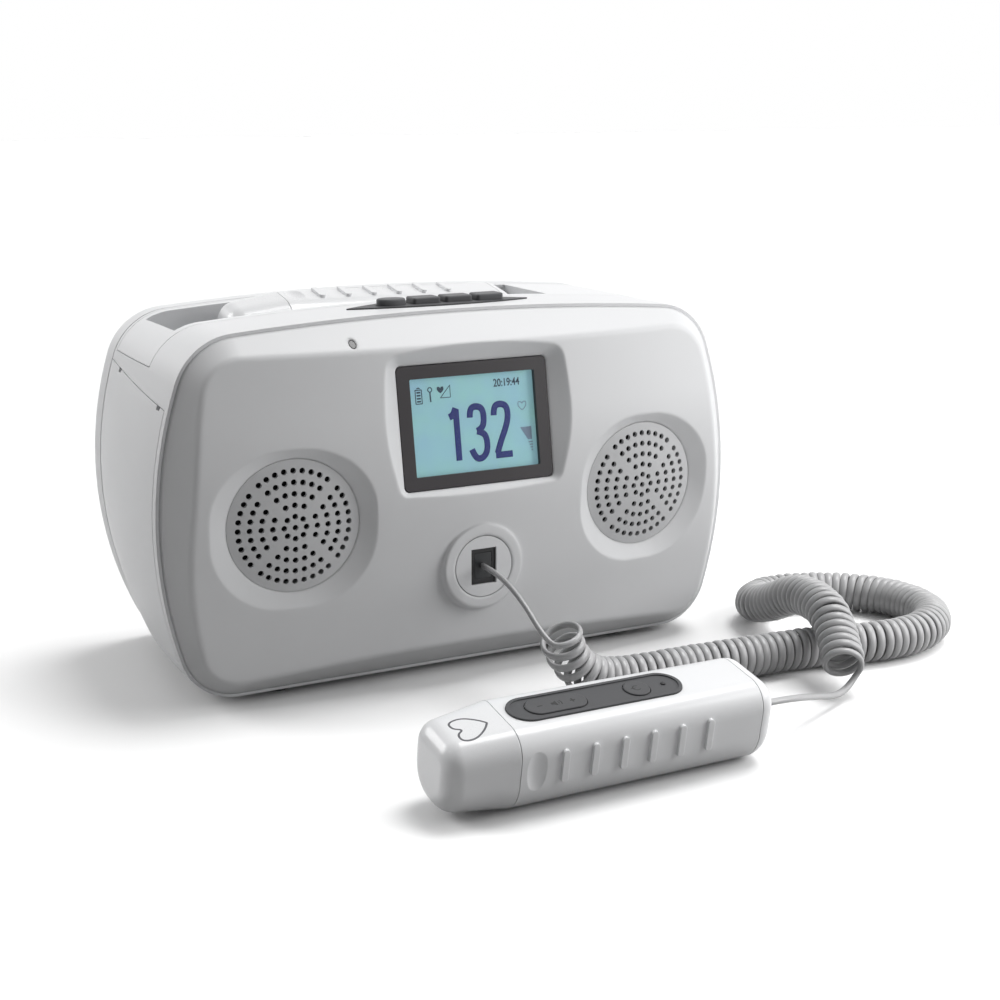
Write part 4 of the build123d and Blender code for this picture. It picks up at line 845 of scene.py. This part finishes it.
class DOPPLER_OT_probes(bpy.types.Operator):
    """Finishes both probes, and prints the hearts and the key signs"""
    bl_idname = "doppler.probes"
    bl_label = "Probes"

    def execute(self, context):
        settings = context.scene.doppler_monitor
        colour = tinted(settings.shell_colour, 1.06)
        shell = moulded("probe_plastic", colour, 0.3, depth=0.008 * MM, coat=0.25)
        pad = moulded("pad_plastic", settings.key_colour, 0.5, edge=0.35 * MM, gloss=0.2)
        keys = rubbery("probe_key_rubber", tinted(settings.key_colour, 0.92), 0.55)
        ink = printed("ink_grey", (0.09, 0.09, 0.1), 0.5)
        sign = printed("ink_black", (0.008, 0.008, 0.008), 0.6)
        for prefix, body in (("wired", "monitor"), ("docked", "docked_probe")):
            place = probe_place(prefix)
            dress(shell, f"{prefix}_probe_body", f"{prefix}_probe_head", f"{prefix}_probe_cap")
            dress(pad, f"{prefix}_key_pad")
            dress(keys, f"{prefix}_rocker_key", f"{prefix}_round_key")
            outline = line_print(FLAT, 0, heart(HEART_AT, HEART_SIZE), 0.85, True)
            outline = draped(outline, place, NODES[f"{prefix}_probe_head"])
            place_piece(f"{prefix}_heart", outline, ink, body)
            signs = gathered(f"{prefix}_rocker_signs", self.rocker_signs())
            signs = draped(signs, place, NODES[f"{prefix}_rocker_key"])
            place_piece(f"{prefix}_rocker_signs", signs, sign, f"{prefix}_rocker")
            marks = gathered(f"{prefix}_round_sign", self.round_sign())
            marks = draped(marks, place, NODES[f"{prefix}_round_key"])
            place_piece(f"{prefix}_round_sign", marks, sign, f"{prefix}_round")
        return {"FINISHED"}

    def rocker_signs(self):
        """Minus, a small loudspeaker and plus."""
        middle = ROCKER_MIDDLE
        minus, plus, upright = middle - 8, middle + 6, middle + 7.1
        bars = [((left, 0), (left + 1, 0), (left + 2.2, 0)) for left in (minus, plus)]
        meshes = [line_print(FLAT, 0, bar, 0.7) for bar in bars]
        meshes.append(line_print(FLAT, 0, ((upright, -1.2), (upright, 0), (upright, 1.2)), 0.7))
        outline = ((-2, -0.6), (-1, -0.6), (0.2, -1.6), (0.2, 1.6), (-1, 0.6), (-2, 0.6))
        meshes.append(patch_print(FLAT, 0.01, [(middle + x, y) for x, y in outline]))
        for reach in (1.0, 2.0):
            bow = middle + reach
            arc = ((bow, -reach * 0.7), (bow + 0.6, 0), (bow, reach * 0.7))
            meshes.append(line_print(FLAT, 0, arc, 0.45))
        return meshes

    def round_sign(self):
        """An open ring with a bar to its middle."""
        angles = [0.5 * step for step in range(2, 12)]
        ring = [(ROUND_MIDDLE + 1.6 * math.cos(angle), 1.6 * math.sin(angle)) for angle in angles]
        bar = ((84.2, 0), (85.4, 0), (86.4, 0))
        return [line_print(FLAT, 0, points, 0.5) for points in (ring, bar)]


class DOPPLER_PT_panel(bpy.types.Panel):
    """Sizes, colours and steps of the monitor"""
    bl_idname = "DOPPLER_PT_panel"
    bl_label = "Doppler Monitor"
    bl_space_type = "VIEW_3D"
    bl_region_type = "UI"
    bl_category = "Doppler"

    def draw(self, context):
        for group in SETTINGS:
            settings = getattr(context.scene, group)
            for label in settings.bl_rna.properties.keys():
                if label not in ("rna_type", "name"):
                    self.layout.prop(settings, label)
        for operator in OPERATORS:
            self.layout.operator(operator.bl_idname)


SETTINGS = {
    "doppler_stage": StageSettings,
    "doppler_cord": CordSettings,
    "doppler_monitor": MonitorSettings,
    "doppler_display": DisplaySettings,
}
OPERATORS = (
    DOPPLER_OT_stage, DOPPLER_OT_cord, DOPPLER_OT_shells, DOPPLER_OT_keys,
    DOPPLER_OT_display, DOPPLER_OT_socket, DOPPLER_OT_inside, DOPPLER_OT_probes,
)


def register():
    for group, settings in SETTINGS.items():
        bpy.utils.register_class(settings)
        setattr(bpy.types.Scene, group, bpy.props.PointerProperty(type=settings))
    for operator in OPERATORS:
        bpy.utils.register_class(operator)
    bpy.utils.register_class(DOPPLER_PT_panel)


def unregister():
    bpy.utils.unregister_class(DOPPLER_PT_panel)
    for operator in reversed(OPERATORS):
        bpy.utils.unregister_class(operator)
    for group, settings in SETTINGS.items():
        delattr(bpy.types.Scene, group)
        bpy.utils.unregister_class(settings)


def main():
    """Makes every piece in order."""
    register()
    for operator in OPERATORS:
        group, name = operator.bl_idname.split(".")
        getattr(getattr(bpy.ops, group), name)()


if __name__ == "__main__":
    main()
